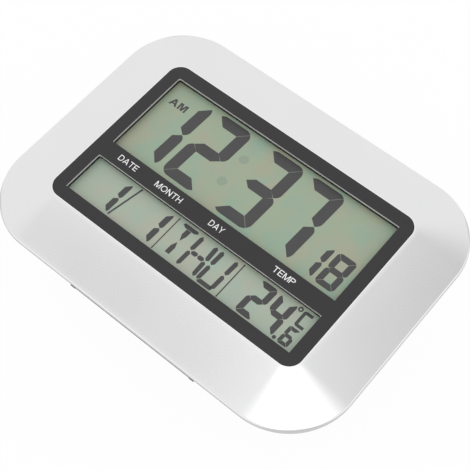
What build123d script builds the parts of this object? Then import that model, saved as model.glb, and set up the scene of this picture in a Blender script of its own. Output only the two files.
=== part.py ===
from build123d import *
from math import copysign, cos, radians, sin, sqrt
import os

# A digital day clock with a silver frame round a black panel, modelled lying on its back.
# +X is the clock's right, +Y its top and +Z points out of its face. The origin is the middle of the
# back face. All sizes are in millimetres. The clock's depth isn't set by itself: it is the stack of
# door, cells, display holder, display and panel.

# ---------------------------------------------------------------- driving dimensions
# Outline
CLOCK_W = 256.0             # over the rim
CLOCK_H = 188.5
RIM_CORNER_R = 43.5         # rim corners, in plan
RIM_H = 4.1                 # upright side of the rim
RIM_EDGE_R = 0.8            # rounding between the slope and the upright side
SLOPE_DROP = 9.9            # fall of the sloping band, from panel to rim
BAND_W = 33.75              # width of the sloping band, in plan
FRAME_WALL = 2.2

# Black panel and its windows
PANEL_R = 9.4
PANEL_LIP = 0.2             # frame's edge round the sheet's recess
OVERLAY_T = 0.4             # black printed sheet
OVERLAY_GAP = 0.05          # sheet to the sides of its recess
PANEL_T = 2.4               # frame moulding behind the sheet
WINDOW_SIDE = 8.6           # sheet's edge to the windows, left and right
WINDOW_TOP = 9.05
WINDOW_BOTTOM = 8.6
DATE_WINDOW_H = 29.0
WINDOW_BAR = 11.95          # between the two windows
WINDOW_R = 0.5

# Display
GASKET_T = 2.3
GASKET_SETBACK = 0.5        # gasket stands back from the windows' walls
POLARISER_T = 0.2
GLASS_T = 1.1
REFLECTOR_T = 0.25
GLASS_OVERLAP = 2.6         # glass beyond the windows
CONTACT_LEDGE = 3.4         # front glass beyond the rear glass, along the bottom
FILM_SETBACK = 0.8          # polariser and reflector inside the edge of the glass
STRIP_W = 2.2               # rubber contact strip
STRIP_END = 13.0            # glass end to strip end
STRIP_GAP = 0.3             # slot round the strip

# Display holder
HOLDER_T = 2.0
HOLDER_WALL = 1.4
HOLDER_GAP = 0.25           # round the glass
HOLDER_FRONT_GAP = 0.1      # walls to the back of the panel
HOLDER_SEAT_GAP = 0.05      # behind the reflector
HOLDER_EAR_R = 3.6
HOLDER_BOSS_R = 2.6
HOLDER_EAR_OUT = 5.6        # glass edge to ear screw
HOLDER_SCREW_SIDE_Y = 40.0  # side ears, from the middle
HOLDER_SCREW_END_X = 45.0   # top and bottom ears, from the middle

# Circuit board
BOARD_T = 1.6
BOARD_POST_H = 1.8
BOARD_POST_R = 2.6
BOARD_END = 4.2             # glass end to board end
BOARD_SCREW_IN = 4.0        # board edges to its screws
BOARD_PAST_BUTTONS = 7.0    # board's upper edge beyond the buttons' row
CHIP_ROW_IN = 13.3          # board's lower edge to the row of its small parts
BLOB_R = 8.0
BLOB_H = 1.8
CRYSTAL_R = 1.0
CRYSTAL_L = 6.0
CAPACITOR_L = 2.0
CAPACITOR_W = 1.25
CAPACITOR_H = 0.9
CAPACITOR_PITCH_X = 8.75
CAPACITOR_PITCH_Y = 8.0
CAPACITOR_COLUMNS = 3

# Rear cover
COVER_WALL = 2.2
COVER_GAP = 0.2             # flange to the rim's inner side
FLANGE_SINK = 0.2           # flange inside the rim's back edge
FLANGE_TOP_GAP = 0.25       # flange to the foot of the frame's sloping wall
POD_INSET_X = 16.0          # rim to the raised back, in plan
POD_INSET_Y = 9.15
POD_R = 34.0
POD_EDGE_R = 2.5

# Screws
SMALL_SCREW_R = 1.0
HOLDER_SCREW_L = 6.5
BOARD_SCREW_L = 4.6
SMALL_HEAD_R = 1.9
SMALL_HEAD_H = 1.5
COVER_SCREW_R = 1.5
COVER_HEAD_R = 2.8
COVER_HEAD_H = 2.0
COVER_SCREW_L = 12.0
HEAD_ROUND = 0.4            # rounding of a head, in head heights
DRIVE_SLOT_L = 0.9          # cross recess, in head radii
DRIVE_SLOT_W = 0.3
TIP_R = 0.3                 # blunt tip, in shank radii
PILOT_SPARE = 0.5           # pilot hole beyond the tip
THREAD_BITE = 0.15          # pilot hole inside the thread's radius
HEAD_CLEARANCE = 0.3
SHANK_CLEARANCE = 0.25
BOSS_R = 3.3
WELL_WALL = 1.5
WELL_DEPTH = 6.0            # back face to the seat of a cover screw
WELL_SEAT_T = 2.0
BOSS_SEAT_GAP = 0.1
SCREW_FROM_POD_X = 14.0     # raised back's sides to the cover screws
SCREW_FROM_POD_Y = 17.0

# Stand
STAND_W = 89.4              # barrel and plate
STAND_L = 52.0              # hinge axis to the plate's free edge
STAND_PLATE_Z = 0.6         # plate's outer face above the back face
STAND_PLATE_T = 2.6
STAND_CORNER_R = 5.0
BARREL_R = 3.3
BARREL_LIFT = 0.2           # barrel above the back face
BARREL_TO_POD = 0.25
PIN_R = 1.5
PIN_CLEARANCE = 0.05
PIN_L = 2.6
EAR_T = 3.0
EAR_GAP = 0.3
EAR_R = 2.9
POCKET_GAP = 0.4            # pocket round the plate
NOTCH_R = 9.0               # finger notch at the plate's free edge
GRIP_RIBS = 3
GRIP_RIB_W = 1.0
GRIP_RIB_PITCH = 2.4
GRIP_FROM_EDGE = 3.0

# Buttons
BUTTON_R = 4.3
BUTTON_GAP = 0.15
BUTTON_FACE_Z = 0.3
BUTTON_LIP = 1.3            # flange beyond the cap
BUTTON_FLANGE_T = 1.1
BUTTON_FLANGE_GAP = 0.3     # flange to the inside of the cover
BUTTON_TRAVEL = 0.5
BUTTON_ROD_R = 2.0
BUTTON_EDGE_R = 0.4
BUTTON_FROM_BOARD_END = 21.3
BUTTON_ROW_ABOVE_STAND = 13.0
STRIP_RECESS_DEPTH = 0.8    # recess round the row of buttons
STRIP_RECESS_SIDE = 4.0
GUIDE_WALL = 1.5
GUIDE_H = 4.3
SWITCH_SIZE = 6.0
SWITCH_BODY_H = 3.5
SWITCH_STEM_R = 1.7
SWITCH_STEM_OUT = 1.5
SWITCH_STEM_IN = 1.0
SWITCH_GAP = 0.1            # stem in its bore
ROD_TO_STEM = 0.05

# Battery compartment, for two cells of the common penlight size
CELL_R = 7.15
CELL_L = 48.8               # without its nub
CELL_EDGE_R = 0.5
NUB_R = 2.6
NUB_L = 1.2
CELL_GAP = 0.4              # between the cells, and to the compartment
CONTACT_T = 0.4
CONTACT_H = 10.0
CONTACT_SEAT = 0.2          # contact plate to the compartment's end
CONTACT_TAB_L = 3.0         # solder tab outside the compartment
CONTACT_TAB_W = 2.0
CONTACT_TAB_GAP = 0.4       # slot round the tab
SPRING_L = 6.6
SPRING_R = 3.2
SPRING_WIRE_R = 0.3
SPRING_TURNS = 4
BAY_WALL = 1.5
BAY_ROOF_T = 1.2
BAY_TO_HOLDER = 0.2         # compartment's roof to the display holder
BAY_LEDGE = 2.6             # door's rebate beyond the compartment
BAY_RIM_H = 5.6
BAY_ABOVE_BUTTONS = 16.0    # buttons' row to the compartment
DOOR_T = 1.6
DOOR_FACE_Z = 0.1
DOOR_GAP = 0.2
DOOR_CORNER_R = 2.0
DOOR_ROOT = 0.4             # how deep tabs and latch root in the plate
TAB_W = 8.0
TAB_L = 2.0
TAB_T = 1.1
TAB_CLEARANCE = 0.45
TAB_FROM_MIDDLE = 19.0
LATCH_W = 12.0
LATCH_L = 8.0
LATCH_SLOT = 0.9
LATCH_GAP = 1.0             # cover's cut-out round the stem
LATCH_TOP_GAP = 0.4
LATCH_STEM_T = 1.0
LATCH_STEM_H = 2.4
LATCH_SETBACK = 0.4
LATCH_RIBS = 3
LATCH_RIB_W = 0.8
LATCH_RIB_DEPTH = 0.4
LATCH_RIB_PITCH = 2.0

# Keyhole, for hanging the clock on a screw
KEYHOLE_R = 4.6
KEYHOLE_SLOT_R = 2.3
KEYHOLE_RISE = 9.0
KEYHOLE_FROM_TOP = 26.0
KEYHOLE_DEPTH = 6.0
KEYHOLE_POCKET_SIDE = 3.0
KEYHOLE_WALL = 1.5

# Buzzer, thermistor and vents
BUZZER_R = 13.7
BUZZER_T = 0.25
CERAMIC_R = 9.5
CERAMIC_T = 0.2
BUZZER_SEAT_W = 1.6
BUZZER_SEAT_H = 1.2
BUZZER_RING_W = 1.4
BUZZER_RIM_H = 1.0          # ring above the seat
BUZZER_GAP = 0.3
SOUND_HOLES = 6             # round the middle one
SOUND_HOLE_R = 1.0
SOUND_HOLE_CIRCLE_R = 5.0
THERMISTOR_R = 1.6
THERMISTOR_Z = 8.5
LEAD_R = 0.3
LEAD_PITCH = 1.6
LEAD_GAP = 0.1
LEAD_STUB = 0.6             # lead's end beyond the board
VENT_W = 1.5
VENT_L = 14.0
VENT_PITCH = 3.4
VENT_COUNT = 5

# Wires
WIRE_R = 0.65
FINE_WIRE_R = 0.4
WIRE_BEND = 3.0             # bend radius, in wire radii
FINE_WIRE_BEND = 4.0
PAD_IN = 3.0                # board's upper edge to its solder pads
WIRE_OUT = 5.0              # run straight out of a contact's tab
WIRE_DROP = 3.0             # tab to the run along the board's edge
WIRE_ALONG = 8.0            # length of that run
WIRE_APART = 3.0            # between the two wires
WIRE_ABOVE = 1.6            # one wire above the other, where they pass
CERAMIC_LEAD_X = 3.0        # buzzer's middle to the lead on its ceramic
BRASS_LEAD_IN = 2.0         # disc's edge to the lead on its brass
BUZZER_LEAD_Y = 4.0
LEAD_RISE = 5.0
BUZZER_PAD_X = 12.5         # first button to the leads' pads, on either side

PAST = 1.0                  # how far a cut runs past the face that it opens

# ---------------------------------------------------------------- places worked out from them
door_inner_z = DOOR_FACE_Z + DOOR_T
cell_z = door_inner_z + CELL_GAP + CELL_R
bay_top_z = cell_z + CELL_R + CELL_GAP
holder_z = bay_top_z + BAY_ROOF_T + BAY_TO_HOLDER
holder_top_z = holder_z + HOLDER_T
reflector_z = holder_top_z + HOLDER_SEAT_GAP
rear_glass_z = reflector_z + REFLECTOR_T
front_glass_z = rear_glass_z + GLASS_T             # back of the front glass
lcd_z = front_glass_z + GLASS_T + POLARISER_T      # face of the display
panel_back_z = lcd_z + GASKET_T
overlay_z = panel_back_z + PANEL_T
clock_d = overlay_z + OVERLAY_T                    # back face to panel face

rim_top_z = clock_d - SLOPE_DROP
rim_back_z = rim_top_z - RIM_H
slope = SLOPE_DROP / BAND_W
wall_fall = FRAME_WALL * sqrt(1 + slope ** 2)      # wall of the sloping band, measured upright
cavity_low_z = rim_top_z + FRAME_WALL * slope - wall_fall

panel_w = CLOCK_W - 2 * BAND_W
panel_h = CLOCK_H - 2 * BAND_W
recess_w = panel_w - 2 * PANEL_LIP
recess_h = panel_h - 2 * PANEL_LIP
sheet_w = recess_w - 2 * OVERLAY_GAP
sheet_h = recess_h - 2 * OVERLAY_GAP
window_w = sheet_w - 2 * WINDOW_SIDE
window_top = sheet_h / 2 - WINDOW_TOP
window_bottom = -sheet_h / 2 + WINDOW_BOTTOM
date_window_top = window_bottom + DATE_WINDOW_H
time_window_bottom = date_window_top + WINDOW_BAR

glass_w = window_w + 2 * GLASS_OVERLAP
glass_top = window_top + GLASS_OVERLAP
rear_glass_bottom = window_bottom - GLASS_OVERLAP / 2
glass_bottom = rear_glass_bottom - CONTACT_LEDGE
glass_h = glass_top - glass_bottom
glass_y = (glass_top + glass_bottom) / 2

holder_w = glass_w + 2 * (HOLDER_GAP + HOLDER_WALL)
holder_h = glass_h + 2 * (HOLDER_GAP + HOLDER_WALL)
side_ear_x = glass_w / 2 + HOLDER_EAR_OUT
side_ears = [(x, glass_y + y) for x in (-side_ear_x, side_ear_x)
             for y in (-HOLDER_SCREW_SIDE_Y, HOLDER_SCREW_SIDE_Y)]
end_ears = [(x, y) for x in (-HOLDER_SCREW_END_X, HOLDER_SCREW_END_X)
            for y in (glass_bottom - HOLDER_EAR_OUT, glass_top + HOLDER_EAR_OUT)]
ears = side_ears + end_ears

pod_w = CLOCK_W - 2 * POD_INSET_X
pod_h = CLOCK_H - 2 * POD_INSET_Y
flange_z = rim_back_z + FLANGE_SINK
flange_top = cavity_low_z - FLANGE_TOP_GAP
cover_screws = [(sx * (pod_w / 2 - SCREW_FROM_POD_X), sy * (pod_h / 2 - SCREW_FROM_POD_Y))
                for sx in (-1, 1) for sy in (-1, 0, 1)]
in_wall_z = COVER_WALL / 2                         # where ribs and walls root in the cover
well_r = COVER_HEAD_R + HEAD_CLEARANCE
boss_z = WELL_DEPTH + WELL_SEAT_T + BOSS_SEAT_GAP

stand_y = -pod_h / 2 - BARREL_TO_POD - BARREL_R    # hinge axis
stand_z = BARREL_R + BARREL_LIFT
stand_top = stand_y + STAND_L
pocket_depth = STAND_PLATE_Z + STAND_PLATE_T + POCKET_GAP
ear_w = STAND_W + 2 * (EAR_GAP + EAR_T)

board_z = holder_z - BOARD_POST_H - BOARD_T        # back of the board
board_front_z = board_z + BOARD_T
board_w = glass_w - 2 * BOARD_END
button_row_y = stand_top + BUTTON_ROW_ABOVE_STAND
button_pitch = (board_w - 2 * BUTTON_FROM_BOARD_END) / 5
button_xs = [(index - 2.5) * button_pitch for index in range(6)]
button_names = ["alarm", "hour_mode", "set", "up", "down", "temperature_unit"]
button_flange_r = BUTTON_R + BUTTON_LIP
board_bottom = glass_bottom - HOLDER_GAP
board_top = button_row_y + BOARD_PAST_BUTTONS
board_h = board_top - board_bottom
board_y = (board_top + board_bottom) / 2
chip_y = board_bottom + CHIP_ROW_IN
pad_y = board_top - PAD_IN
switch_z = board_z - SWITCH_BODY_H
stem_z = switch_z - SWITCH_STEM_OUT
board_screws = [(x, y) for x in (-board_w / 2 + BOARD_SCREW_IN, board_w / 2 - BOARD_SCREW_IN)
                for y in (board_bottom + BOARD_SCREW_IN, board_top - BOARD_SCREW_IN)]
board_screws.append((0.0, board_top - BOARD_SCREW_IN))
strip_y = (glass_bottom + rear_glass_bottom) / 2

bay_l = CELL_L + NUB_L + SPRING_L + 2 * (CONTACT_T + CONTACT_SEAT)
bay_w = 4 * CELL_R + 3 * CELL_GAP
bay_y = button_row_y + BAY_ABOVE_BUTTONS + bay_w / 2
cell_ys = (bay_y - CELL_R - CELL_GAP / 2, bay_y + CELL_R + CELL_GAP / 2)
door_w = bay_l + 2 * BAY_LEDGE
door_h = bay_w + 2 * BAY_LEDGE
door_top = bay_y + door_h / 2
door_bottom = bay_y - door_h / 2
rebate_z = door_inner_z + DOOR_GAP
tab_z = rebate_z + DOOR_GAP
bay_rim_w = door_w + 2 * (COVER_WALL + TAB_L)
bay_rim_h = door_h + 2 * (COVER_WALL + TAB_L)

keyhole_y = pod_h / 2 - KEYHOLE_FROM_TOP
buzzer_x = -(bay_rim_w / 2 + pod_w / 2 - SCREW_FROM_POD_X - well_r - WELL_WALL) / 2
buzzer_seat_z = COVER_WALL + BUZZER_SEAT_H
thermistor_x = board_w / 2 - BUTTON_FROM_BOARD_END / 2


# ---------------------------------------------------------------- small shapes
def slab(width, height, radius, low, high, x=0.0, y=0.0):
    """A plate with rounded corners in plan, from z = low to z = high."""
    return extrude(Pos(x, y, low) * RectangleRounded(width, height, radius), amount=high - low)


def block(width, height, low, high, x=0.0, y=0.0):
    """A square-cornered block centred on (x, y), from z = low to z = high."""
    return Pos(x, y, (low + high) / 2) * Box(width, height, high - low)


def slot(length, width, low, high, x=0.0, y=0.0, turn=0.0):
    """A round-ended slot's shape, along X before its turn."""
    return extrude(Pos(x, y, low) * SlotOverall(length, width, rotation=turn), amount=high - low)


def rod(radius, low, high, x=0.0, y=0.0):
    """An upright cylinder from z = low to z = high."""
    return Pos(x, y, (low + high) / 2) * Cylinder(radius, high - low)


def rods(radius, low, high, places):
    """Upright cylinders, one at each place."""
    return [rod(radius, low, high, x, y) for x, y in places]


def windows(grow, low, high):
    """The two window openings, each grown all round, as cutting blocks."""
    spans = ((window_bottom, date_window_top), (time_window_bottom, window_top))
    return [slab(window_w + 2 * grow, top - bottom + 2 * grow, WINDOW_R, low, high, y=(top + bottom) / 2)
            for bottom, top in spans]


def screw(radius, length, head_r, head_h, seat_z, x, y):
    """A pan-head screw driven towards +Z, its head under seat_z, with a cross recess."""
    slot_l = DRIVE_SLOT_L * head_r
    slot_w = DRIVE_SLOT_W * head_r
    body = rod(head_r, seat_z - head_h, seat_z, x, y)
    body = fillet(body.edges().group_by(Axis.Z)[0], HEAD_ROUND * head_h)
    body += rod(radius, seat_z, seat_z + length - radius, x, y)
    body += Pos(x, y, seat_z + length - radius / 2) * Cone(radius, TIP_R * radius, radius)
    for width, height in ((slot_l, slot_w), (slot_w, slot_l)):
        body -= block(width, height, seat_z - head_h - PAST, seat_z - head_h / 2, x, y)
    return body


def small_screw(length, seat_z, x, y):
    return screw(SMALL_SCREW_R, length, SMALL_HEAD_R, SMALL_HEAD_H, seat_z, x, y)


def lead(points, radius, bend):
    """A round wire through the points, its corners turned as arcs of bend times its radius."""
    path = FilletPolyline(*points, radius=bend * radius)
    start = Plane(origin=path @ 0, z_dir=path % 0)
    return sweep(start * Circle(radius), path=path)


# ---------------------------------------------------------------- front frame and panel
def outer_shape():
    """The frame's outside: a sloping band from the panel down to an upright rim."""
    rim = slab(CLOCK_W, CLOCK_H, RIM_CORNER_R, rim_back_z, rim_top_z)
    band = loft([Pos(0, 0, rim_top_z) * RectangleRounded(CLOCK_W, CLOCK_H, RIM_CORNER_R),
                 Pos(0, 0, clock_d) * RectangleRounded(panel_w, panel_h, PANEL_R)], ruled=True)
    return rim + band


def frame_cavity():
    """The hollow behind the sloping band, one wall inside the outer shape."""
    low_w = CLOCK_W - 2 * FRAME_WALL
    low_h = CLOCK_H - 2 * FRAME_WALL
    low_r = RIM_CORNER_R - FRAME_WALL
    grow = (clock_d - wall_fall - panel_back_z) / slope
    band = loft([Pos(0, 0, cavity_low_z) * RectangleRounded(low_w, low_h, low_r),
                 Pos(0, 0, panel_back_z) * RectangleRounded(panel_w + 2 * grow, panel_h + 2 * grow,
                                                            PANEL_R + grow)], ruled=True)
    return band + slab(low_w, low_h, low_r, rim_back_z - PAST, cavity_low_z)


def front_frame():
    outer = outer_shape()
    rim_edges = outer.edges().filter_by_position(Axis.Z, rim_top_z - 0.01, rim_top_z + 0.01)
    outer = fillet(rim_edges, RIM_EDGE_R)
    frame = outer - frame_cavity()
    frame -= slab(recess_w, recess_h, PANEL_R, overlay_z, clock_d + PAST)
    frame -= windows(0, panel_back_z - PAST, clock_d + PAST)
    bosses = rods(BOSS_R, boss_z, clock_d, cover_screws)
    bosses += rods(HOLDER_BOSS_R, holder_top_z + BOSS_SEAT_GAP, clock_d, ears)
    room = outer_shape() - slab(panel_w, panel_h, PANEL_R, (overlay_z + panel_back_z) / 2, clock_d + PAST)
    for boss in bosses:
        frame += boss & room
    cover_pilot_z = WELL_DEPTH + COVER_SCREW_L + PILOT_SPARE
    holder_pilot_z = holder_z + HOLDER_SCREW_L + PILOT_SPARE
    frame -= rods(COVER_SCREW_R - THREAD_BITE, boss_z - PAST, cover_pilot_z, cover_screws)
    return frame - rods(SMALL_SCREW_R - THREAD_BITE, holder_z, holder_pilot_z, ears)


def panel_overlay():
    sheet = slab(sheet_w, sheet_h, PANEL_R, overlay_z, clock_d)
    return sheet - windows(0, overlay_z - PAST, clock_d + PAST)


# ---------------------------------------------------------------- display
def lcd_gasket():
    ring = block(glass_w, glass_h - CONTACT_LEDGE, lcd_z, panel_back_z, y=(glass_top + rear_glass_bottom) / 2)
    return ring - windows(GASKET_SETBACK, lcd_z - PAST, panel_back_z + PAST)


def film(low, high):
    """A sheet that covers the rear glass but for a narrow edge."""
    height = glass_top - rear_glass_bottom
    return block(glass_w - 2 * FILM_SETBACK, height - 2 * FILM_SETBACK, low, high,
                 y=(glass_top + rear_glass_bottom) / 2)


def front_polariser():
    return film(lcd_z - POLARISER_T, lcd_z)


def front_glass():
    return block(glass_w, glass_h, front_glass_z, front_glass_z + GLASS_T, y=glass_y)


def rear_glass():
    return block(glass_w, glass_top - rear_glass_bottom, rear_glass_z, front_glass_z,
                 y=(glass_top + rear_glass_bottom) / 2)


def reflector():
    return film(reflector_z, rear_glass_z)


def contact_strip():
    return block(glass_w - 2 * STRIP_END, STRIP_W, board_front_z, front_glass_z, y=strip_y)


def lcd_holder():
    """A tray behind the glass, with ears for its screws and posts for the board's."""
    tray = block(holder_w, holder_h, holder_z, panel_back_z - HOLDER_FRONT_GAP, y=glass_y)
    tray -= block(glass_w + 2 * HOLDER_GAP, glass_h + 2 * HOLDER_GAP, holder_top_z, panel_back_z, y=glass_y)
    tray += rods(HOLDER_EAR_R, holder_z, holder_top_z, ears)
    for x, y in side_ears:
        tray += block(HOLDER_EAR_OUT, 2 * HOLDER_EAR_R, holder_z, holder_top_z,
                      x - copysign(HOLDER_EAR_OUT / 2, x), y)
    for x, y in end_ears:
        tray += block(2 * HOLDER_EAR_R, HOLDER_EAR_OUT, holder_z, holder_top_z,
                      x, y - copysign(HOLDER_EAR_OUT / 2, y))
    tray += rods(BOARD_POST_R, board_front_z, holder_z, board_screws)
    tray -= rods(SMALL_SCREW_R + SHANK_CLEARANCE, holder_z - PAST, holder_top_z + PAST, ears)
    tray -= rods(SMALL_SCREW_R - THREAD_BITE, board_front_z - PAST, holder_top_z + PAST, board_screws)
    return tray - block(glass_w - 2 * (STRIP_END - STRIP_GAP), STRIP_W + 2 * STRIP_GAP, holder_z - PAST,
                        holder_top_z + PAST, y=strip_y)


# ---------------------------------------------------------------- circuit board
def main_board():
    board = block(board_w, board_h, board_z, board_front_z, y=board_y)
    board -= rods(SMALL_SCREW_R + SHANK_CLEARANCE, board_z - PAST, board_front_z + PAST, board_screws)
    lead_holes = [(thermistor_x + side * LEAD_PITCH / 2, board_y) for side in (-1, 1)]
    return board - rods(LEAD_R + LEAD_GAP, board_z - PAST, board_front_z + PAST, lead_holes)


def controller_blob():
    """The cap of a sphere, of epoxy over the bare controller chip."""
    sphere_r = (BLOB_R ** 2 + BLOB_H ** 2) / (2 * BLOB_H)
    dome = Pos(-button_pitch / 2, chip_y, board_z - BLOB_H + sphere_r) * Sphere(sphere_r)
    return dome & block(2 * sphere_r, 2 * sphere_r, board_z - 2 * BLOB_H, board_z, -button_pitch / 2, chip_y)


def watch_crystal():
    can = Pos(button_pitch / 2, chip_y, board_z - CRYSTAL_R) * Rot(0, 90, 0) * Cylinder(CRYSTAL_R, CRYSTAL_L)
    return fillet(can.edges(), CRYSTAL_R / 4)


def board_capacitors():
    places = [(button_pitch + CAPACITOR_PITCH_X * column, chip_y + side * CAPACITOR_PITCH_Y / 2)
              for column in range(CAPACITOR_COLUMNS) for side in (-1, 1)]
    return [block(CAPACITOR_L, CAPACITOR_W, board_z - CAPACITOR_H, board_z, x, y) for x, y in places]


def thermistor():
    bead = Pos(thermistor_x, board_y, THERMISTOR_Z) * Sphere(THERMISTOR_R)
    for side in (-1, 1):
        x = thermistor_x + side * LEAD_PITCH / 2
        bead += rod(LEAD_R, THERMISTOR_Z, board_front_z + LEAD_STUB, x, board_y)
    return bead


def switch_bodies():
    bodies = []
    for x in button_xs:
        body = block(SWITCH_SIZE, SWITCH_SIZE, switch_z, board_z, x, button_row_y)
        bore_top = switch_z + SWITCH_STEM_IN + BUTTON_TRAVEL + SWITCH_GAP
        bodies.append(body - rod(SWITCH_STEM_R + SWITCH_GAP, switch_z - PAST, bore_top, x, button_row_y))
    return bodies


def switch_stem(x):
    return rod(SWITCH_STEM_R, stem_z, switch_z + SWITCH_STEM_IN, x, button_row_y)


def button(x):
    """A round cap on a rod, with a flange that keeps it behind the cover."""
    flange_low = COVER_WALL + BUTTON_FLANGE_GAP
    flange_high = flange_low + BUTTON_FLANGE_T
    cap = rod(BUTTON_R, BUTTON_FACE_Z, flange_high, x, button_row_y)
    cap = fillet(cap.edges().group_by(Axis.Z)[0], BUTTON_EDGE_R)
    cap += rod(button_flange_r, flange_low, flange_high, x, button_row_y)
    return cap + rod(BUTTON_ROD_R, flange_high, stem_z - ROD_TO_STEM, x, button_row_y)


# ---------------------------------------------------------------- rear cover
def cover_shell():
    """A raised back with a flange round it that closes the frame."""
    flange_inset = FRAME_WALL + COVER_GAP
    pod = slab(pod_w, pod_h, POD_R, 0, flange_top)
    pod = fillet(pod.edges().group_by(Axis.Z)[0], POD_EDGE_R)
    shell = pod + slab(CLOCK_W - 2 * flange_inset, CLOCK_H - 2 * flange_inset, RIM_CORNER_R - flange_inset,
                       flange_z, flange_top)
    return shell - slab(pod_w - 2 * COVER_WALL, pod_h - 2 * COVER_WALL, POD_R - COVER_WALL, COVER_WALL,
                        flange_top + PAST)


def add_screw_wells(cover):
    cover += rods(well_r + WELL_WALL, in_wall_z, WELL_DEPTH + WELL_SEAT_T, cover_screws)
    cover -= rods(well_r, -PAST, WELL_DEPTH, cover_screws)
    return cover - rods(COVER_SCREW_R + SHANK_CLEARANCE, -PAST, boss_z, cover_screws)


def add_stand_pocket(cover):
    half_w = STAND_W / 2 + POCKET_GAP
    low_y = -pod_h / 2 + COVER_WALL / 2
    high_y = stand_top + POCKET_GAP
    roof_z = pocket_depth + COVER_WALL
    cover += block(2 * (half_w + COVER_WALL), high_y + COVER_WALL - low_y, in_wall_z, roof_z,
                   y=(high_y + COVER_WALL + low_y) / 2)
    cover += rod(NOTCH_R + COVER_WALL, in_wall_z, roof_z, 0, stand_top)
    cover -= block(2 * half_w, high_y + pod_h, -PAST, pocket_depth, y=(high_y - pod_h) / 2)
    return cover - rod(NOTCH_R, -PAST, pocket_depth, 0, stand_top)


def add_stand_ears(cover):
    depth = -pod_h / 2 + COVER_WALL / 2 - stand_y
    for side in (-1, 1):
        x = side * (STAND_W / 2 + EAR_GAP + EAR_T / 2)
        cover += Pos(x, stand_y, stand_z) * Rot(0, 90, 0) * Cylinder(EAR_R, EAR_T)
        cover += block(EAR_T, depth, stand_z - EAR_R, stand_z + EAR_R, x, stand_y + depth / 2)
    bore = Rot(0, 90, 0) * Cylinder(PIN_R + PIN_CLEARANCE, ear_w + 2 * PAST)
    return cover - Pos(0, stand_y, stand_z) * bore


def add_button_row(cover):
    collar_r = button_flange_r + BUTTON_GAP
    row_w = 2 * (BUTTON_R + STRIP_RECESS_SIDE)
    row_l = button_xs[-1] - button_xs[0] + row_w
    places = [(x, button_row_y) for x in button_xs]
    cover += rods(collar_r + GUIDE_WALL, in_wall_z, COVER_WALL + GUIDE_H, places)
    cover -= rods(collar_r, COVER_WALL, COVER_WALL + GUIDE_H + PAST, places)
    cover -= slot(row_l, row_w, -PAST, STRIP_RECESS_DEPTH, y=button_row_y)
    return cover - rods(BUTTON_R + BUTTON_GAP, -PAST, COVER_WALL + PAST, places)


def add_battery_bay(cover):
    cover += block(bay_rim_w, bay_rim_h, in_wall_z, BAY_RIM_H, y=bay_y)
    cover += block(bay_l + 2 * BAY_WALL, bay_w + 2 * BAY_WALL, in_wall_z, bay_top_z + BAY_ROOF_T, y=bay_y)
    cover -= block(bay_l, bay_w, -PAST, bay_top_z, y=bay_y)
    cover -= slab(door_w + 2 * DOOR_GAP, door_h + 2 * DOOR_GAP, DOOR_CORNER_R, -PAST, rebate_z, y=bay_y)
    slot_l = TAB_L + BAY_LEDGE + 2 * TAB_CLEARANCE + PAST
    for side in (-1, 1):
        cover -= block(TAB_W + 2 * TAB_CLEARANCE, slot_l, DOOR_FACE_Z, tab_z + TAB_T + 2 * TAB_CLEARANCE,
                       side * TAB_FROM_MIDDLE, door_top + TAB_L + 2 * TAB_CLEARANCE - slot_l / 2)
    cover -= block(LATCH_W + 2 * LATCH_GAP, 2 * BAY_LEDGE, -PAST, door_inner_z + LATCH_STEM_H + LATCH_TOP_GAP,
                   0, bay_y - bay_w / 2)
    tab_high = cell_z + CONTACT_H / 2
    for y in cell_ys:
        cover -= block(BAY_WALL + 2 * PAST, CONTACT_TAB_W + 2 * CONTACT_TAB_GAP,
                       tab_high - CONTACT_T - CONTACT_TAB_GAP, tab_high + CONTACT_TAB_GAP,
                       -(bay_l + BAY_WALL) / 2, y)
    return cover


def add_keyhole(cover):
    pocket_w = 2 * (KEYHOLE_R + KEYHOLE_POCKET_SIDE)
    pocket_l = pocket_w + KEYHOLE_RISE
    pocket_y = keyhole_y + KEYHOLE_RISE / 2
    cover += block(pocket_w + 2 * KEYHOLE_WALL, pocket_l + 2 * KEYHOLE_WALL, in_wall_z,
                   KEYHOLE_DEPTH + KEYHOLE_WALL, y=pocket_y)
    cover -= block(pocket_w, pocket_l, COVER_WALL, KEYHOLE_DEPTH, y=pocket_y)
    cover -= rod(KEYHOLE_R, -PAST, COVER_WALL + PAST, 0, keyhole_y)
    slot_r = KEYHOLE_SLOT_R
    return cover - slot(KEYHOLE_RISE + 2 * slot_r, 2 * slot_r, -PAST, COVER_WALL + PAST, 0, pocket_y, 90)


def add_buzzer_seat(cover):
    ring_r = BUZZER_R + BUZZER_GAP
    ring_top = buzzer_seat_z + BUZZER_RIM_H
    cover += rod(ring_r + BUZZER_RING_W, in_wall_z, ring_top, buzzer_x, bay_y)
    cover -= rod(ring_r, buzzer_seat_z, ring_top + PAST, buzzer_x, bay_y)
    cover -= rod(ring_r - BUZZER_SEAT_W, COVER_WALL, buzzer_seat_z + PAST, buzzer_x, bay_y)
    holes = [(buzzer_x, bay_y)]
    for step in range(SOUND_HOLES):
        angle = radians(360 * step / SOUND_HOLES)
        holes.append((buzzer_x + SOUND_HOLE_CIRCLE_R * cos(angle), bay_y + SOUND_HOLE_CIRCLE_R * sin(angle)))
    return cover - rods(SOUND_HOLE_R, -PAST, COVER_WALL + PAST, holes)


def add_vents(cover):
    for index in range(VENT_COUNT):
        x = thermistor_x + (index - (VENT_COUNT - 1) / 2) * VENT_PITCH
        cover -= slot(VENT_L, VENT_W, -PAST, COVER_WALL + PAST, x, board_y, 90)
    return cover


def rear_cover():
    cover = cover_shell()
    for feature in (add_battery_bay, add_stand_pocket, add_stand_ears, add_button_row, add_screw_wells,
                    add_keyhole, add_buzzer_seat, add_vents):
        cover = feature(cover)
    return cover


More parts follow.
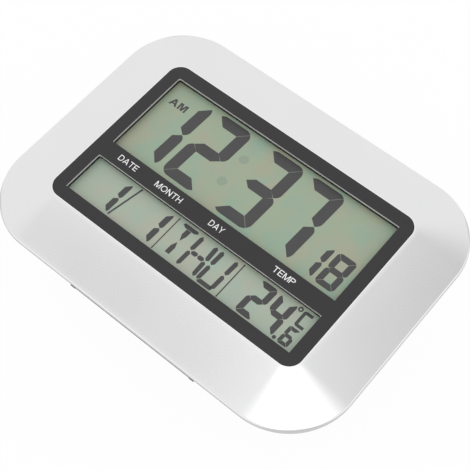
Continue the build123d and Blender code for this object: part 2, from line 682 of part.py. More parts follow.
def stand():
    """A flat plate on a barrel that turns on two moulded pins."""
    barrel = Rot(0, 90, 0) * Cylinder(BARREL_R, STAND_W)
    pins = Rot(0, 90, 0) * Cylinder(PIN_R, STAND_W + 2 * (EAR_GAP + PIN_L))
    plate_high = STAND_PLATE_Z + STAND_PLATE_T
    plate = slab(STAND_W, STAND_L + 2 * STAND_CORNER_R, STAND_CORNER_R, STAND_PLATE_Z, plate_high,
                 y=stand_top - STAND_L / 2 - STAND_CORNER_R)
    plate -= block(STAND_W + 2 * PAST, 4 * STAND_CORNER_R, -PAST, plate_high + PAST,
                   y=stand_y - 2 * STAND_CORNER_R)
    for rib in range(GRIP_RIBS):
        y = stand_top - GRIP_FROM_EDGE - GRIP_RIB_PITCH * rib
        plate -= block(2 * NOTCH_R, GRIP_RIB_W, 0, STAND_PLATE_Z + GRIP_RIB_W / 2, y=y)
    return plate + Pos(0, stand_y, stand_z) * (barrel + pins)


def battery_door():
    """A plate with two hooked tabs on its upper edge and a latch finger on its lower edge."""
    door = slab(door_w, door_h, DOOR_CORNER_R, DOOR_FACE_Z, door_inner_z, y=bay_y)
    root_z = door_inner_z - DOOR_ROOT
    for side in (-1, 1):
        x = side * TAB_FROM_MIDDLE
        door += block(TAB_W, BAY_LEDGE, root_z, tab_z, x, door_top - BAY_LEDGE / 2)
        door += block(TAB_W, BAY_LEDGE + TAB_L, tab_z, tab_z + TAB_T, x, door_top + (TAB_L - BAY_LEDGE) / 2)
        slot_x = side * (LATCH_W + LATCH_SLOT) / 2
        door -= block(LATCH_SLOT, 2 * LATCH_L, -PAST, rebate_z, slot_x, door_bottom)
    stem_y = door_bottom + LATCH_SETBACK + LATCH_STEM_T / 2
    door += block(LATCH_W, LATCH_STEM_T, root_z, door_inner_z + LATCH_STEM_H, 0, stem_y)
    for rib in range(LATCH_RIBS):
        y = door_bottom + LATCH_RIB_PITCH * (rib + 1)
        door -= block(LATCH_W - 2 * LATCH_GAP, LATCH_RIB_W, -PAST, DOOR_FACE_Z + LATCH_RIB_DEPTH, 0, y)
    return door


# ---------------------------------------------------------------- batteries, wires and buzzer
def cell_end_xs():
    """The plus end's nub tip and the minus end of a cell that points to +X."""
    tip = bay_l / 2 - CONTACT_SEAT - CONTACT_T
    return tip, tip - NUB_L - CELL_L


def aa_cells():
    tip, minus_end = cell_end_xs()
    cells = []
    for y, turn in zip(cell_ys, (180, 0)):
        middle = (tip - NUB_L + minus_end) / 2
        can = Pos(middle, 0, 0) * Rot(0, 90, 0) * Cylinder(CELL_R, CELL_L)
        can = fillet(can.edges(), CELL_EDGE_R)
        can += Pos(tip - NUB_L / 2, 0, 0) * Rot(0, 90, 0) * Cylinder(NUB_R, NUB_L)
        cells.append(Pos(0, y, cell_z) * Rot(0, 0, turn) * can)
    return cells


def battery_springs():
    minus_end = cell_end_xs()[1]
    springs = []
    for y, turn in zip(cell_ys, (180, 0)):
        low = -bay_l / 2 + CONTACT_SEAT + CONTACT_T + SPRING_WIRE_R
        length = minus_end - SPRING_WIRE_R - low
        coil = Helix(pitch=length / SPRING_TURNS, height=length, radius=SPRING_R - SPRING_WIRE_R)
        start = Plane(origin=coil @ 0, z_dir=coil % 0)
        wire = sweep(start * Circle(SPRING_WIRE_R), path=coil, is_frenet=True)
        springs.append(Pos(0, y, cell_z) * Rot(0, 0, turn) * Pos(low, 0, 0) * Rot(0, 90, 0) * wire)
    return springs


def battery_contacts():
    """One wide link at the right end, and two plates with solder tabs at the left end."""
    x = bay_l / 2 - CONTACT_SEAT - CONTACT_T / 2
    low = cell_z - CONTACT_H / 2
    high = cell_z + CONTACT_H / 2
    plates = [block(CONTACT_T, bay_w - 2 * CELL_GAP, low, high, x, bay_y)]
    tab_l = bay_l / 2 + BAY_WALL + CONTACT_TAB_L - x
    for y in cell_ys:
        plate = block(CONTACT_T, CONTACT_H, low, high, -x, y)
        plate += block(tab_l, CONTACT_TAB_W, high - CONTACT_T, high, -x - tab_l / 2, y)
        plates.append(plate)
    return plates


def battery_wire(index):
    """From a contact's tab, along the board's upper edge and down to its solder pad."""
    start_x = -bay_l / 2 - BAY_WALL - CONTACT_TAB_L + WIRE_R
    turn_x = start_x - WIRE_OUT - WIRE_APART * index
    pad_x = turn_x + WIRE_ALONG * (index + 1)
    y = cell_ys[index]
    high = cell_z + CONTACT_H / 2 - CONTACT_T - WIRE_R
    low = high - WIRE_DROP - WIRE_ABOVE * index
    points = [(start_x, y, high), (turn_x, y, high), (turn_x, pad_y, low), (pad_x, pad_y, low),
              (pad_x, pad_y, board_z)]
    return lead(points, WIRE_R, WIRE_BEND)


def buzzer_disc():
    return rod(BUZZER_R, buzzer_seat_z, buzzer_seat_z + BUZZER_T, buzzer_x, bay_y)


def buzzer_ceramic():
    low = buzzer_seat_z + BUZZER_T
    return rod(CERAMIC_R, low, low + CERAMIC_T, buzzer_x, bay_y)


def buzzer_leads():
    """One from the ceramic and one from the brass, to pads on either side of the first switch."""
    low = buzzer_seat_z + BUZZER_T
    y = bay_y - BUZZER_LEAD_Y
    high = low + LEAD_RISE
    ends = ((buzzer_x + CERAMIC_LEAD_X, low + CERAMIC_T, 1), (buzzer_x - BUZZER_R + BRASS_LEAD_IN, low, -1))
    leads = []
    for x, start_z, side in ends:
        pad_x = button_xs[0] + side * BUZZER_PAD_X
        points = [(x, y, start_z), (x, y, high), (pad_x, pad_y, high), (pad_x, pad_y, board_z)]
        leads.append(lead(points, FINE_WIRE_R, FINE_WIRE_BEND))
    return leads


# ---------------------------------------------------------------- the assembly
def assembly():
    """Every sub-part by name; a list holds identical pieces that share one name."""
    nodes = {
        "front_frame": front_frame(),
        "panel_overlay": panel_overlay(),
        "lcd_gasket": lcd_gasket(),
        "front_polariser": front_polariser(),
        "front_glass": front_glass(),
        "rear_glass": rear_glass(),
        "reflector": reflector(),
        "contact_strip": contact_strip(),
        "lcd_holder": lcd_holder(),
        "holder_screws": [small_screw(HOLDER_SCREW_L, holder_z, x, y) for x, y in ears],
        "main_board": main_board(),
        "board_screws": [small_screw(BOARD_SCREW_L, board_z, x, y) for x, y in board_screws],
        "controller_blob": controller_blob(),
        "watch_crystal": watch_crystal(),
        "board_capacitors": board_capacitors(),
        "thermistor": thermistor(),
        "switch_bodies": switch_bodies(),
        "rear_cover": rear_cover(),
        "cover_screws": [screw(COVER_SCREW_R, COVER_SCREW_L, COVER_HEAD_R, COVER_HEAD_H, WELL_DEPTH, x, y)
                         for x, y in cover_screws],
        "stand": stand(),
        "battery_door": battery_door(),
        "aa_cells": aa_cells(),
        "battery_springs": battery_springs(),
        "battery_contacts": battery_contacts(),
        "positive_wire": battery_wire(0),
        "negative_wire": battery_wire(1),
        "buzzer_disc": buzzer_disc(),
        "buzzer_ceramic": buzzer_ceramic(),
        "buzzer_leads": buzzer_leads(),
    }
    for name, x in zip(button_names, button_xs):
        nodes[name + "_button"] = button(x)
        nodes[name + "_stem"] = switch_stem(x)
    return nodes


os.makedirs("parts", exist_ok=True)
for name, shape in assembly().items():
    pieces = shape if isinstance(shape, list) else [shape]
    solids = [solid for piece in pieces for solid in piece.solids()]
    export_step(Compound(children=solids), f"parts/{name}.step")
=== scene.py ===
from math import atan, cos, degrees, pi, radians, sin, sqrt
from typing import NamedTuple

import bmesh
import bpy
import numpy as np
from mathutils import Matrix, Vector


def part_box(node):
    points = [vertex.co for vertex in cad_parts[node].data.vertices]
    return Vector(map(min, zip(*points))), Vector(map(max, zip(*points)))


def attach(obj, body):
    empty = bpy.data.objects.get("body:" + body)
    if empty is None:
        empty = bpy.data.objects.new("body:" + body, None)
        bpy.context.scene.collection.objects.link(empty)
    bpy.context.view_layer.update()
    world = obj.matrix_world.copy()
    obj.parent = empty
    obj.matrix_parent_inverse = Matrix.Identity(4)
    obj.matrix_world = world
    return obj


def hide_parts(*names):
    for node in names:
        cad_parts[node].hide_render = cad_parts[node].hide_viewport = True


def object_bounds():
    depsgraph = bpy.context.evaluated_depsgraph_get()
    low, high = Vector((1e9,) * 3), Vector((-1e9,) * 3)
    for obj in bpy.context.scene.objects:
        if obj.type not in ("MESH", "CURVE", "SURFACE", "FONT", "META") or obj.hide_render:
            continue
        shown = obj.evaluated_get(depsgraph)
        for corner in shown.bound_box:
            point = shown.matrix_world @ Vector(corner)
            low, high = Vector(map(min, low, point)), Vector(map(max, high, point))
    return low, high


# A digital day clock: a satin silver frame round a black panel with two display windows. It lies on its
# back: +X is its right, +Y its top and +Z points out of its face. Sizes and places here are in
# millimetres, and become metres when a mesh is made.

MM = 0.001

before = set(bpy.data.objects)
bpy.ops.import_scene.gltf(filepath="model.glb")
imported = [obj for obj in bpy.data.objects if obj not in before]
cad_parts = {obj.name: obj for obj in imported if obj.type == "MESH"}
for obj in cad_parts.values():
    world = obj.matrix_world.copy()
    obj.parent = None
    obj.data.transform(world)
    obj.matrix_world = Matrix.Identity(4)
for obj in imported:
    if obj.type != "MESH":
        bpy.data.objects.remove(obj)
cad_low, cad_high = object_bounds()


def box(node):
    """The lowest and highest corner of one part of the frame, in millimetres."""
    low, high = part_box(node)
    return np.array(low) / MM, np.array(high) / MM


def middle(node):
    """The middle of one part's box."""
    low, high = box(node)
    return (low + high) / 2


# -------------------- sizes taken from the frame
sheet_low, sheet_high = box("panel_overlay")
button_low, button_high = box("set_button")
cells_low, cells_high = box("aa_cells")
door_low, door_high = box("battery_door")

half_w, half_h, face_z = box("front_frame")[1]  # face_z is the top of the lip round the black sheet
lcd_z = box("front_polariser")[1][2]
sheet_z = sheet_low[2]

# -------------------- driving sizes of the front
RIM_CORNER_R = 43.5
RIM_BACK_Z = 15.2  # clear of the cover's flange, which closes the frame behind it
RIM_TOP_Z = 18.1  # upright side's top, before its edge is rounded
RIM_EDGE_R = 1.0
RIM_DRAFT = 0.35  # how much farther in the side's top is than its back edge
SHADED_SIDE_Z = 17.5  # painted shade: the side is given a darker colour up to here
CORNER_SHADE_RISE = 1.1  # and this much higher in the middle of a corner
PAINTED_LIGHT_FADE = 0.15  # half the height over which the painted shade fades into the edge's painted highlight
BAND_W = 33.75  # sloping band, in plan
BAND_CROWN = 0.3  # bulge of the band over a straight slope
PANEL_R = 9.4  # corners of the black sheet and of the recess round it
LIP_W = 0.4  # the frame's lip round the sheet, whose top gets a painted highlight
LIP_R = 0.08
PANEL_T = 2.4  # frame's plate behind the sheet
WALL = 2.2  # frame's wall behind the band
EDGE = 0.3  # small rounding of the rim's back edge
WINDOW_SIDE = 8.6  # sheet's edge to the windows
WINDOW_TOP = 9.05
WINDOW_BOTTOM = 8.6
DATE_WINDOW_H = 29.0
WINDOW_BAR = 11.95
WINDOW_R = 1.4  # corners of the windows in the frame
PRINT_WINDOW_R = 0.6  # and in the sheet over it
REBATE_W = 0.5  # step under each window's edge, whose upright face gets the gasket's black as painted shade
REBATE_Z = 26.1
RECESS_CLEAR = 1.0  # keeps the recess's own wall out of what counts as a window's wall
INK_T = 0.02  # printed lettering over the sheet
SHEET_EDGE = 0.06

CORNER_STEPS = 32  # of each rounded corner
SIDE_STEPS = 24  # of each straight side
BAND_ROWS = 14
PAST = 1.0  # how far a cutting shape runs past what it cuts
SHARP_ANGLE = 30  # in degrees: an edge that turns by more than this is sharp

# -------------------- meshes from numpy points


def linked(name, data):
    """A new object in the scene, at its origin."""
    made = bpy.data.objects.new(name, data)
    bpy.context.scene.collection.objects.link(made)
    return made


def shown_mesh(piece):
    """The mesh that an object shows, with its modifiers applied."""
    return bpy.data.meshes.new_from_object(piece.evaluated_get(bpy.context.evaluated_depsgraph_get()))


def points_of(mesh):
    """A mesh's points, in its own units, as rows of x, y and z."""
    points = np.empty(len(mesh.vertices) * 3)
    mesh.vertices.foreach_get("co", points)
    return points.reshape(-1, 3)


def face_outwards(mesh):
    """Turns the faces of a closed mesh so that they all point outwards."""
    shell = bmesh.new()
    shell.from_mesh(mesh)
    bmesh.ops.recalc_face_normals(shell, faces=shell.faces)
    shell.to_mesh(mesh)
    shell.free()


def link_piece(name, shape, finish, replaces=(), body="clock_body"):
    """Puts a shape, a mesh or (points, faces), into the scene as a closed piece that rides on a body."""
    mesh = shape if isinstance(shape, bpy.types.Mesh) else mesh_of(name, *shape)
    face_outwards(mesh)
    mesh.shade_smooth()
    mesh.set_sharp_from_angle(angle=radians(SHARP_ANGLE))
    mesh.materials.clear()
    mesh.materials.append(finish)
    piece = linked(name, mesh)
    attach(piece, body)
    if replaces:
        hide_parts(*replaces)
    return piece


def mesh_of(name, points, faces):
    """A mesh from points in millimetres and lists of point numbers."""
    mesh = bpy.data.meshes.new(name)
    mesh.from_pydata((np.asarray(points) * MM).tolist(), [], faces)
    return mesh


def grid_faces(rows, columns):
    """Four-sided faces between the neighbours of a grid of points whose rows each run once round."""
    row = np.arange(rows - 1)[:, None] * columns
    here = np.arange(columns)[None, :]
    after = (here + 1) % columns
    return np.stack([row + here, row + after, row + columns + after, row + columns + here],
                    axis=-1).reshape(-1, 4).tolist()


def capped(grid):
    """The points and faces of a grid (rows, columns, 3) of closed rows, with a face over each end."""
    rows, columns = grid.shape[:2]
    last = (rows - 1) * columns
    faces = grid_faces(rows, columns)
    faces.append(list(range(columns)))
    faces.append(list(range(last, last + columns)))
    return grid.reshape(-1, 3), faces


def joined(parts):
    """Several (points, faces) as one."""
    points, faces = [], []
    for part_points, part_faces in parts:
        first = sum(len(p) for p in points)
        points.append(part_points)
        faces += [[first + corner for corner in face] for face in part_faces]
    return np.concatenate(points), faces


def rounded_rectangle(half_x, half_y, radius, corner_steps=CORNER_STEPS, side_steps=SIDE_STEPS):
    """Points once round a rounded rectangle, for each set of half sizes and radius given.

    A corner is a quarter circle of the radius about the point that lies one radius inside both
    sides, and a side is even steps from one corner's end to the next corner's start.
    """
    half_x, half_y, radius = (np.atleast_1d(v).astype(float)[:, None, None] for v in (half_x, half_y, radius))
    turn = (np.arange(4)[:, None] + np.linspace(0, 1, corner_steps + 1)) * pi / 2
    sign_x = np.array([1, -1, -1, 1])[:, None]
    sign_y = np.array([1, 1, -1, -1])[:, None]
    arcs = np.stack([(half_x - radius) * sign_x + radius * np.cos(turn),
                     (half_y - radius) * sign_y + radius * np.sin(turn)], axis=-1)
    share = (np.arange(1, side_steps) / side_steps)[:, None]
    starts = arcs[:, :, -1:]
    ends = np.roll(arcs, -1, axis=1)[:, :, :1]
    sides = starts + (ends - starts) * share
    return np.concatenate([arcs, sides], axis=2).reshape(len(arcs), -1, 2)


def carried(profile, half_x, half_y, radius, x=0.0, y=0.0, spread=1.0, **steps):
    """A profile carried round a rounded rectangle, closed by a face at each end.

    The profile's rows are (inset, z). At an inset the rectangle is smaller by it on every side, and
    its corner radius by spread times it.
    """
    inset, z = np.array(profile, float).T
    plan = rounded_rectangle(half_x - inset, half_y - inset, radius - spread * inset, **steps)
    height = np.broadcast_to(z[:, None, None], plan.shape[:2] + (1,))
    return capped(np.concatenate([plan + (x, y), height], axis=-1))


def turned(profile, x=0.0, y=0.0, z=0.0, columns=48, axis="z"):
    """A profile turned about an axis: radius times the cosine and sine of the angle, at each height.

    The profile's rows are (radius, height), and a first or last radius of nothing is a pole.
    """
    radius, height = np.array(profile, float).T
    radius = np.maximum(radius, 1e-4)
    angle = np.arange(columns) * 2 * pi / columns
    across = radius[:, None] * np.cos(angle)
    up = radius[:, None] * np.sin(angle)
    along = np.broadcast_to(height[:, None], across.shape)
    order = {"z": (across, up, along), "x": (along, across, up)}[axis]
    points, faces = capped(np.stack(order, axis=-1))
    return points + (x, y, z), faces


def arc(centre_x, centre_y, radius, start, end, steps=8):
    """Points of a circle's arc, from one angle to another in degrees. Two radii make it an ellipse's."""
    angle = np.radians(np.linspace(start, end, steps + 1))
    circle = np.stack([np.cos(angle), np.sin(angle)], axis=-1)
    return np.array([centre_x, centre_y]) + np.broadcast_to(radius, 2) * circle


def prisms(outlines, low, high):
    """Upright prisms, one on each closed outline, from z = low to z = high."""
    parts = []
    for outline in outlines:
        outline = np.asarray(outline, float)
        rows = [np.column_stack([outline, np.full(len(outline), z)]) for z in (low, high)]
        parts.append(capped(np.stack(rows)))
    return joined(parts)


def hollow_prism(outer, inner, low, high):
    """An upright wall between two closed outlines of as many points, one inside the other."""
    rows = [(outer, low), (outer, high), (inner, high), (inner, low)]
    grid = np.stack([np.column_stack([outline, np.full(len(outline), z)]) for outline, z in rows])
    points = grid.reshape(-1, 3)
    faces = np.array(grid_faces(len(rows) + 1, len(outer))) % len(points)
    return points, faces.tolist()


UPRIGHT_FACE = 0.3  # an upright face's normal has less z than this


def finish_window_walls(piece, upper, lower, split_z, half_x, half_y):
    """Gives two more finishes to the upright faces inside a rectangle, above and below a height."""
    mesh = piece.data
    mesh.materials.append(upper)
    mesh.materials.append(lower)
    values = np.empty((2, len(mesh.polygons) * 3))
    mesh.polygons.foreach_get("center", values[0])
    mesh.polygons.foreach_get("normal", values[1])
    centres, normals = values.reshape(2, -1, 3)
    x, y = np.abs(centres[:, :2].T) / MM
    chosen = (np.abs(normals[:, 2]) < UPRIGHT_FACE) & (x < half_x) & (y < half_y)
    below = centres[:, 2] / MM < split_z
    mesh.polygons.foreach_set("material_index", (chosen * (1 + below)).astype(np.int32))


def cut(body_mesh, tool_mesh):
    """What is left of one closed mesh after another is taken out of it."""
    face_outwards(body_mesh)
    face_outwards(tool_mesh)
    body, tool = (linked(mesh.name, mesh) for mesh in (body_mesh, tool_mesh))
    difference = body.modifiers.new("cut", "BOOLEAN")
    difference.operation = "DIFFERENCE"
    difference.solver = "EXACT"
    difference.object = tool
    result = shown_mesh(body)
    result.name = body_mesh.name
    for piece in (body, tool):
        mesh = piece.data
        bpy.data.objects.remove(piece)
        bpy.data.meshes.remove(mesh)
    return result


def lettering(text, place, low, high):
    """A word of the plain built-in font, to be read from behind, as closed prisms that fill place."""
    curve = bpy.data.curves.new(text, "FONT")
    curve.body = text
    curve.extrude = 0.5
    holder = linked(text, curve)
    mesh = shown_mesh(holder)
    bpy.data.objects.remove(holder)
    bpy.data.curves.remove(curve)
    letters = bmesh.new()
    letters.from_mesh(mesh)
    bmesh.ops.remove_doubles(letters, verts=letters.verts, dist=1e-5)
    letters.to_mesh(mesh)
    letters.free()
    points = points_of(mesh)
    faces = [list(face.vertices) for face in mesh.polygons]
    bpy.data.meshes.remove(mesh)
    start, end = points.min(axis=0), points.max(axis=0)
    share = (points - start) / (end - start)
    share[:, 0] = 1 - share[:, 0]
    x0, y0, x1, y1 = place
    return np.array([x0, y0, low]) + share * np.array([x1 - x0, y1 - y0, high - low]), faces


# -------------------- finishes


class Socket:
    """What a node gives. +, - and * on it, on either side, add Math nodes."""

    def __init__(self, nodes, output):
        self.nodes = nodes
        self.output = output

    def math(self, operation, *values):
        return self.nodes.node("Math", {"operation": operation}, dict(enumerate(values)))

    def __add__(self, other):
        return self.math("ADD", self, other)

    def __sub__(self, other):
        return self.math("SUBTRACT", self, other)

    def __rsub__(self, other):
        return self.math("SUBTRACT", other, self)

    def __mul__(self, other):
        return self.math("MULTIPLY", self, other)

    __radd__ = __add__
    __rmul__ = __mul__

    def above(self, edge, softness):
        """0 below an edge and 1 above it, over a soft step."""
        return self.nodes.node("MapRange", {"interpolation_type": "SMOOTHSTEP"},
                               {"Value": self, "From Min": edge - softness, "From Max": edge + softness})


class Nodes:
    """A material's or the world's nodes, which end in one output."""

    def __init__(self, owner, output):
        owner.use_nodes = True
        self.tree = owner.node_tree
        self.tree.nodes.clear()
        self.surface = self.tree.nodes.new("ShaderNodeOutput" + output).inputs["Surface"]

    def node(self, kind, settings=None, inputs=None, output=0):
        """Adds a node of that kind. Its settings come first, then its sockets' values or links."""
        made = self.tree.nodes.new("ShaderNode" + kind)
        for name, value in (settings or {}).items():
            setattr(made, name, value)
        for key, value in (inputs or {}).items():
            if isinstance(value, Socket):
                self.tree.links.new(value.output, made.inputs[key])
            else:
                made.inputs[key].default_value = value
        return Socket(self, made.outputs[output])

    def show(self, shader):
        """Makes a shader the one that is seen."""
        self.tree.links.new(shader.output, self.surface)


class Finish(Nodes):
    """One material: a Principled shader and the nodes that vary it. Its patterns are in millimetres."""

    def __init__(self, name, **constants):
        self.material = bpy.data.materials.new(name)
        super().__init__(self.material, "Material")
        values = {socket.replace("_", " "): value for socket, value in constants.items()}
        self.shader = self.node("BsdfPrincipled", None, values)
        self.show(self.shader)

    def place(self, stretch=(1, 1, 1)):
        """The point on the piece, in millimetres, with each axis stretched."""
        spot = self.node("TexCoord", output="Object")
        return self.node("VectorMath", {"operation": "MULTIPLY"},
                         {0: spot, 1: tuple(s / MM for s in stretch)})

    def along(self, axis):
        """The point's x, y or z, in millimetres."""
        return self.node("SeparateXYZ", inputs={0: self.place()}, output=axis)

    def noise(self, size, detail=2.0, roughness=0.5, stretch=(1, 1, 1)):
        """Cloudy noise from 0 to 1, whose lumps are about that many millimetres wide."""
        return self.node("TexNoise", None, {"Vector": self.place(stretch), "Scale": 1 / size,
                                            "Detail": detail, "Roughness": roughness})

    def mix(self, share, first, second):
        """The first colour where the share is 0 and the second where it is 1."""
        colours = [c if isinstance(c, Socket) else (*c, 1.0) for c in (first, second)]
        return self.node("Mix", {"data_type": "RGBA"}, {0: share, 6: colours[0], 7: colours[1]}, output=2)

    def vary(self, **sockets):
        """Links values into the shader's sockets."""
        for name, value in sockets.items():
            self.tree.links.new(value.output, self.shader.output.node.inputs[name.replace("_", " ")])

    def bump(self, height, distance):
        """Raises the surface by the height, from 0 to 1, times a distance in millimetres."""
        normal = self.node("Bump", None, {"Strength": 1.0, "Distance": distance * MM, "Height": height})
        self.vary(Normal=normal)


def tint(colour, amount):
    """A colour made lighter or darker by a factor."""
    return tuple(channel * amount for channel in colour)


def plain_finish(name, colour, roughness, grain=0.25, mottle=6.0, spread=0.1, relief=0.01, **constants):
    """A moulded or painted finish: slight clouds of shade, fine grain and uneven gloss."""
    finish = Finish(name, **constants)
    clouds = finish.noise(mottle, detail=3.0)
    fine = finish.noise(grain, detail=2.0)
    share = clouds * 0.6 + fine * 0.4
    finish.vary(Base_Color=finish.mix(share, tint(colour, 1 - spread), tint(colour, 1 + spread)),
                Roughness=roughness - 0.05 + fine * 0.06 + clouds * 0.04)
    finish.bump(fine, relief)
    return finish.material


SILVER = ((0.825, 0.825, 0.828), (0.895, 0.895, 0.897))  # between flakes and on them
# painted shade: a darker colour for the rim's upright side, in place of the dimmer light it would reflect
SHADED_SIDE_SILVER = (0.58, 0.58, 0.585)
# painted highlight: a brighter colour for the lip's top and the rim's rounded edge, which makes their bright
# lines
HIGHLIGHT_SILVER = (0.98, 0.98, 0.98)


def satin_silver():
    """Metallised lacquer with fine bright flakes, with a painted highlight on its edges and painted shade on
    the sides.

    The painted shade ends at a height on the straight sides, and reaches higher in the corners.
    """
    finish = Finish("satin_silver", Metallic=1.0)
    flake = finish.noise(0.12, detail=1.0)
    coat = finish.noise(30.0, detail=3.0)
    height = finish.along("Z")
    lip = height.above(face_z - LIP_R / 2, LIP_R / 4)
    corner = finish.node("Attribute", {"attribute_name": "corner_share"}, output="Fac")
    # painted shade on the side, below a height that rises in the corners
    side = 1 - (height - corner * CORNER_SHADE_RISE).above(SHADED_SIDE_Z, PAINTED_LIGHT_FADE)
    # painted highlight on the lip's top and on the rim's rounded edge above the side
    painted_highlight = lip + (1 - side) * (1 - height.above(RIM_TOP_Z - 0.1, PAINTED_LIGHT_FADE))
    colour = finish.mix(flake * 0.6 + coat * 0.4, *SILVER)
    colour = finish.mix(side, colour, SHADED_SIDE_SILVER)
    finish.vary(Base_Color=finish.mix(painted_highlight, colour, HIGHLIGHT_SILVER),
                Roughness=0.19 + flake * 0.05 + coat * 0.03 + side * 0.05 - painted_highlight * 0.12)
    finish.bump(flake, 0.0015)
    return finish.material


def printed_black():
    """The black print of the sheet: almost neutral, with a fine grain."""
    finish = Finish("printed_black", Specular_IOR_Level=0.5)
    grain = finish.noise(0.5, detail=3.0)
    clouds = finish.noise(25.0)
    shade = grain * 0.7 + clouds * 0.3
    finish.vary(Base_Color=finish.mix(shade, (0.0125, 0.0115, 0.0130), (0.0230, 0.0215, 0.0240)),
                Roughness=0.42 + grain * 0.12)
    finish.bump(grain, 0.004)
    return finish.material


PATCH_SIZE = 15.0  # of the display's soft patches
PATCH_STRETCH = (1.0, 0.7, 1.0)
COOL_PATCHES_AT = (140.0, 60.0, 0)  # the noise is read this far off for the cool ones


def pale_display():
    """The display's film: grey green, with soft patches of olive pink and of blue green, paler low down."""
    finish = Finish("pale_display")
    warm = finish.noise(PATCH_SIZE, detail=2.0, stretch=PATCH_STRETCH).above(0.53, 0.15)
    spot = finish.node("VectorMath", {"operation": "ADD"},
                       {0: finish.place(PATCH_STRETCH), 1: COOL_PATCHES_AT})
    cool = finish.node("TexNoise", None, {"Vector": spot, "Scale": 1 / PATCH_SIZE, "Detail": 2.0})
    cool = cool.above(0.55, 0.15)
    grain = finish.noise(0.4, detail=1.0)
    bar_y = sheet_low[1] + WINDOW_BOTTOM + DATE_WINDOW_H + WINDOW_BAR / 2
    low = 1 - finish.along("Y").above(bar_y, 3.0)
    colour = finish.mix(cool * 0.75, (0.320, 0.400, 0.276), (0.262, 0.400, 0.302))
    colour = finish.mix(warm * 0.8, colour, (0.375, 0.372, 0.264))
    colour = finish.mix(grain * 0.12 + low * 0.29, colour, (0.54, 0.59, 0.55))
    finish.vary(Base_Color=colour, Roughness=0.33 + grain * 0.08)
    return finish.material


def display_ink(name, dark, light):
    """A lit segment of the display, a little uneven in its darkness."""
    finish = Finish(name, Roughness=0.38)
    shade = finish.noise(9.0, detail=3.0)
    finish.vary(Base_Color=finish.mix(shade, dark, light))
    return finish.material


def spark_black(name, colour, roughness):
    """Moulded plastic from a spark-textured tool: fine rounded pits, duller in the pits."""
    finish = Finish(name)
    pits = finish.noise(0.55, detail=4.0, roughness=0.65)
    clouds = finish.noise(30.0)
    finish.vary(Base_Color=finish.mix(pits * 0.7 + clouds * 0.3, tint(colour, 0.8), tint(colour, 1.25)),
                Roughness=roughness + pits * 0.15)
    finish.bump(pits, 0.05)
    return finish.material


def brushed_metal(name, colour, roughness, stretch=(0.08, 1, 1)):
    """Rolled or drawn metal, with lines that run along its stretched axis."""
    finish = Finish(name, Metallic=1.0)
    lines = finish.noise(0.2, detail=3.0, stretch=stretch)
    finish.vary(Base_Color=finish.mix(lines, tint(colour, 0.85), tint(colour, 1.08)),
                Roughness=roughness + lines * 0.15)
    finish.bump(lines, 0.003)
    return finish.material


def laminate_board():
    """Green solder mask over copper tracks, which show as slightly lighter raised lines."""
    finish = Finish("laminate_board")
    tracks = finish.node("TexBrick", {"offset": 0.5, "squash": 1.0},
                         {"Vector": finish.place(), "Scale": 0.16, "Mortar Size": 0.06, "Mortar Smooth": 0.1},
                         output="Fac")
    weave = finish.noise(0.6, detail=2.0)
    base = finish.mix(weave, (0.010, 0.085, 0.030), (0.016, 0.120, 0.045))
    finish.vary(Base_Color=finish.mix(tracks, base, (0.030, 0.210, 0.080)), Roughness=0.28 + weave * 0.15)
    finish.bump(tracks * 0.8 + weave * 0.2, 0.03)
    return finish.material


def striped_rubber():
    """The contact strip's fine black and pale layers, side by side along it."""
    finish = Finish("striped_rubber", Roughness=0.7)
    turn = finish.along("X") * 12.0
    stripes = turn.math("SINE", turn) * 0.5 + 0.5
    finish.vary(Base_Color=finish.mix(stripes.above(0.5, 0.1), (0.02, 0.02, 0.02), (0.55, 0.50, 0.42)))
    return finish.material


def cell_sleeve():
    """A plain battery sleeve: dark, with a coppery band at the plus end and a thin pale ring beside it."""
    finish = Finish("cell_sleeve", Coat_Weight=0.4)
    lower = 1 - finish.along("Y").above(cell_split_y, 0.01)
    toward_plus = finish.along("X") * (1 - 2 * lower)
    band = toward_plus.above(cell_band_x, 0.05)
    ring = toward_plus.above(cell_band_x - CELL_RING_W, 0.05) - band
    grain = finish.noise(0.4)
    colour = finish.mix(grain, (0.018, 0.019, 0.022), (0.028, 0.029, 0.033))
    colour = finish.mix(band, colour, (0.55, 0.27, 0.11))
    colour = finish.mix(ring, colour, (0.72, 0.72, 0.70))
    finish.vary(Base_Color=colour, Metallic=band * 0.7, Roughness=0.3 + grain * 0.1)
    finish.bump(grain, 0.004)
    return finish.material


# The two cells lie side by side, with their plus ends at opposite sides.
CELL_BAND_L = 13.5  # plus end to the end of the coloured band
CELL_RING_W = 1.2
cell_split_y = (cells_low[1] + cells_high[1]) / 2
cell_band_x = cells_high[0] - CELL_BAND_L

silver = satin_silver()
black_print = printed_black()
film_green = pale_display()
ink_dark = display_ink("display_segments", (0.053, 0.051, 0.053), (0.064, 0.062, 0.064))
ink_faint = display_ink("faint_segments", (0.270, 0.345, 0.258), (0.290, 0.360, 0.272))
white_print = plain_finish("white_print", (0.94, 0.94, 0.94), 0.55, spread=0.03, relief=0.002)
cover_black = spark_black("cover_black", (0.026, 0.026, 0.028), 0.48)
stand_black = spark_black("stand_black", (0.040, 0.040, 0.042), 0.42)
moulded_grey = plain_finish("moulded_grey", (0.60, 0.59, 0.585), 0.5, relief=0.004, spread=0.05)
# the gasket's real black foam, also put on the frame's window walls below the rebate as painted shade
black_foam = plain_finish("black_foam", (0.02, 0.02, 0.02), 0.85, grain=0.5, relief=0.08)
button_grey = plain_finish("button_grey", (0.17, 0.17, 0.18), 0.5, grain=0.3, relief=0.008)
sleeve = cell_sleeve()

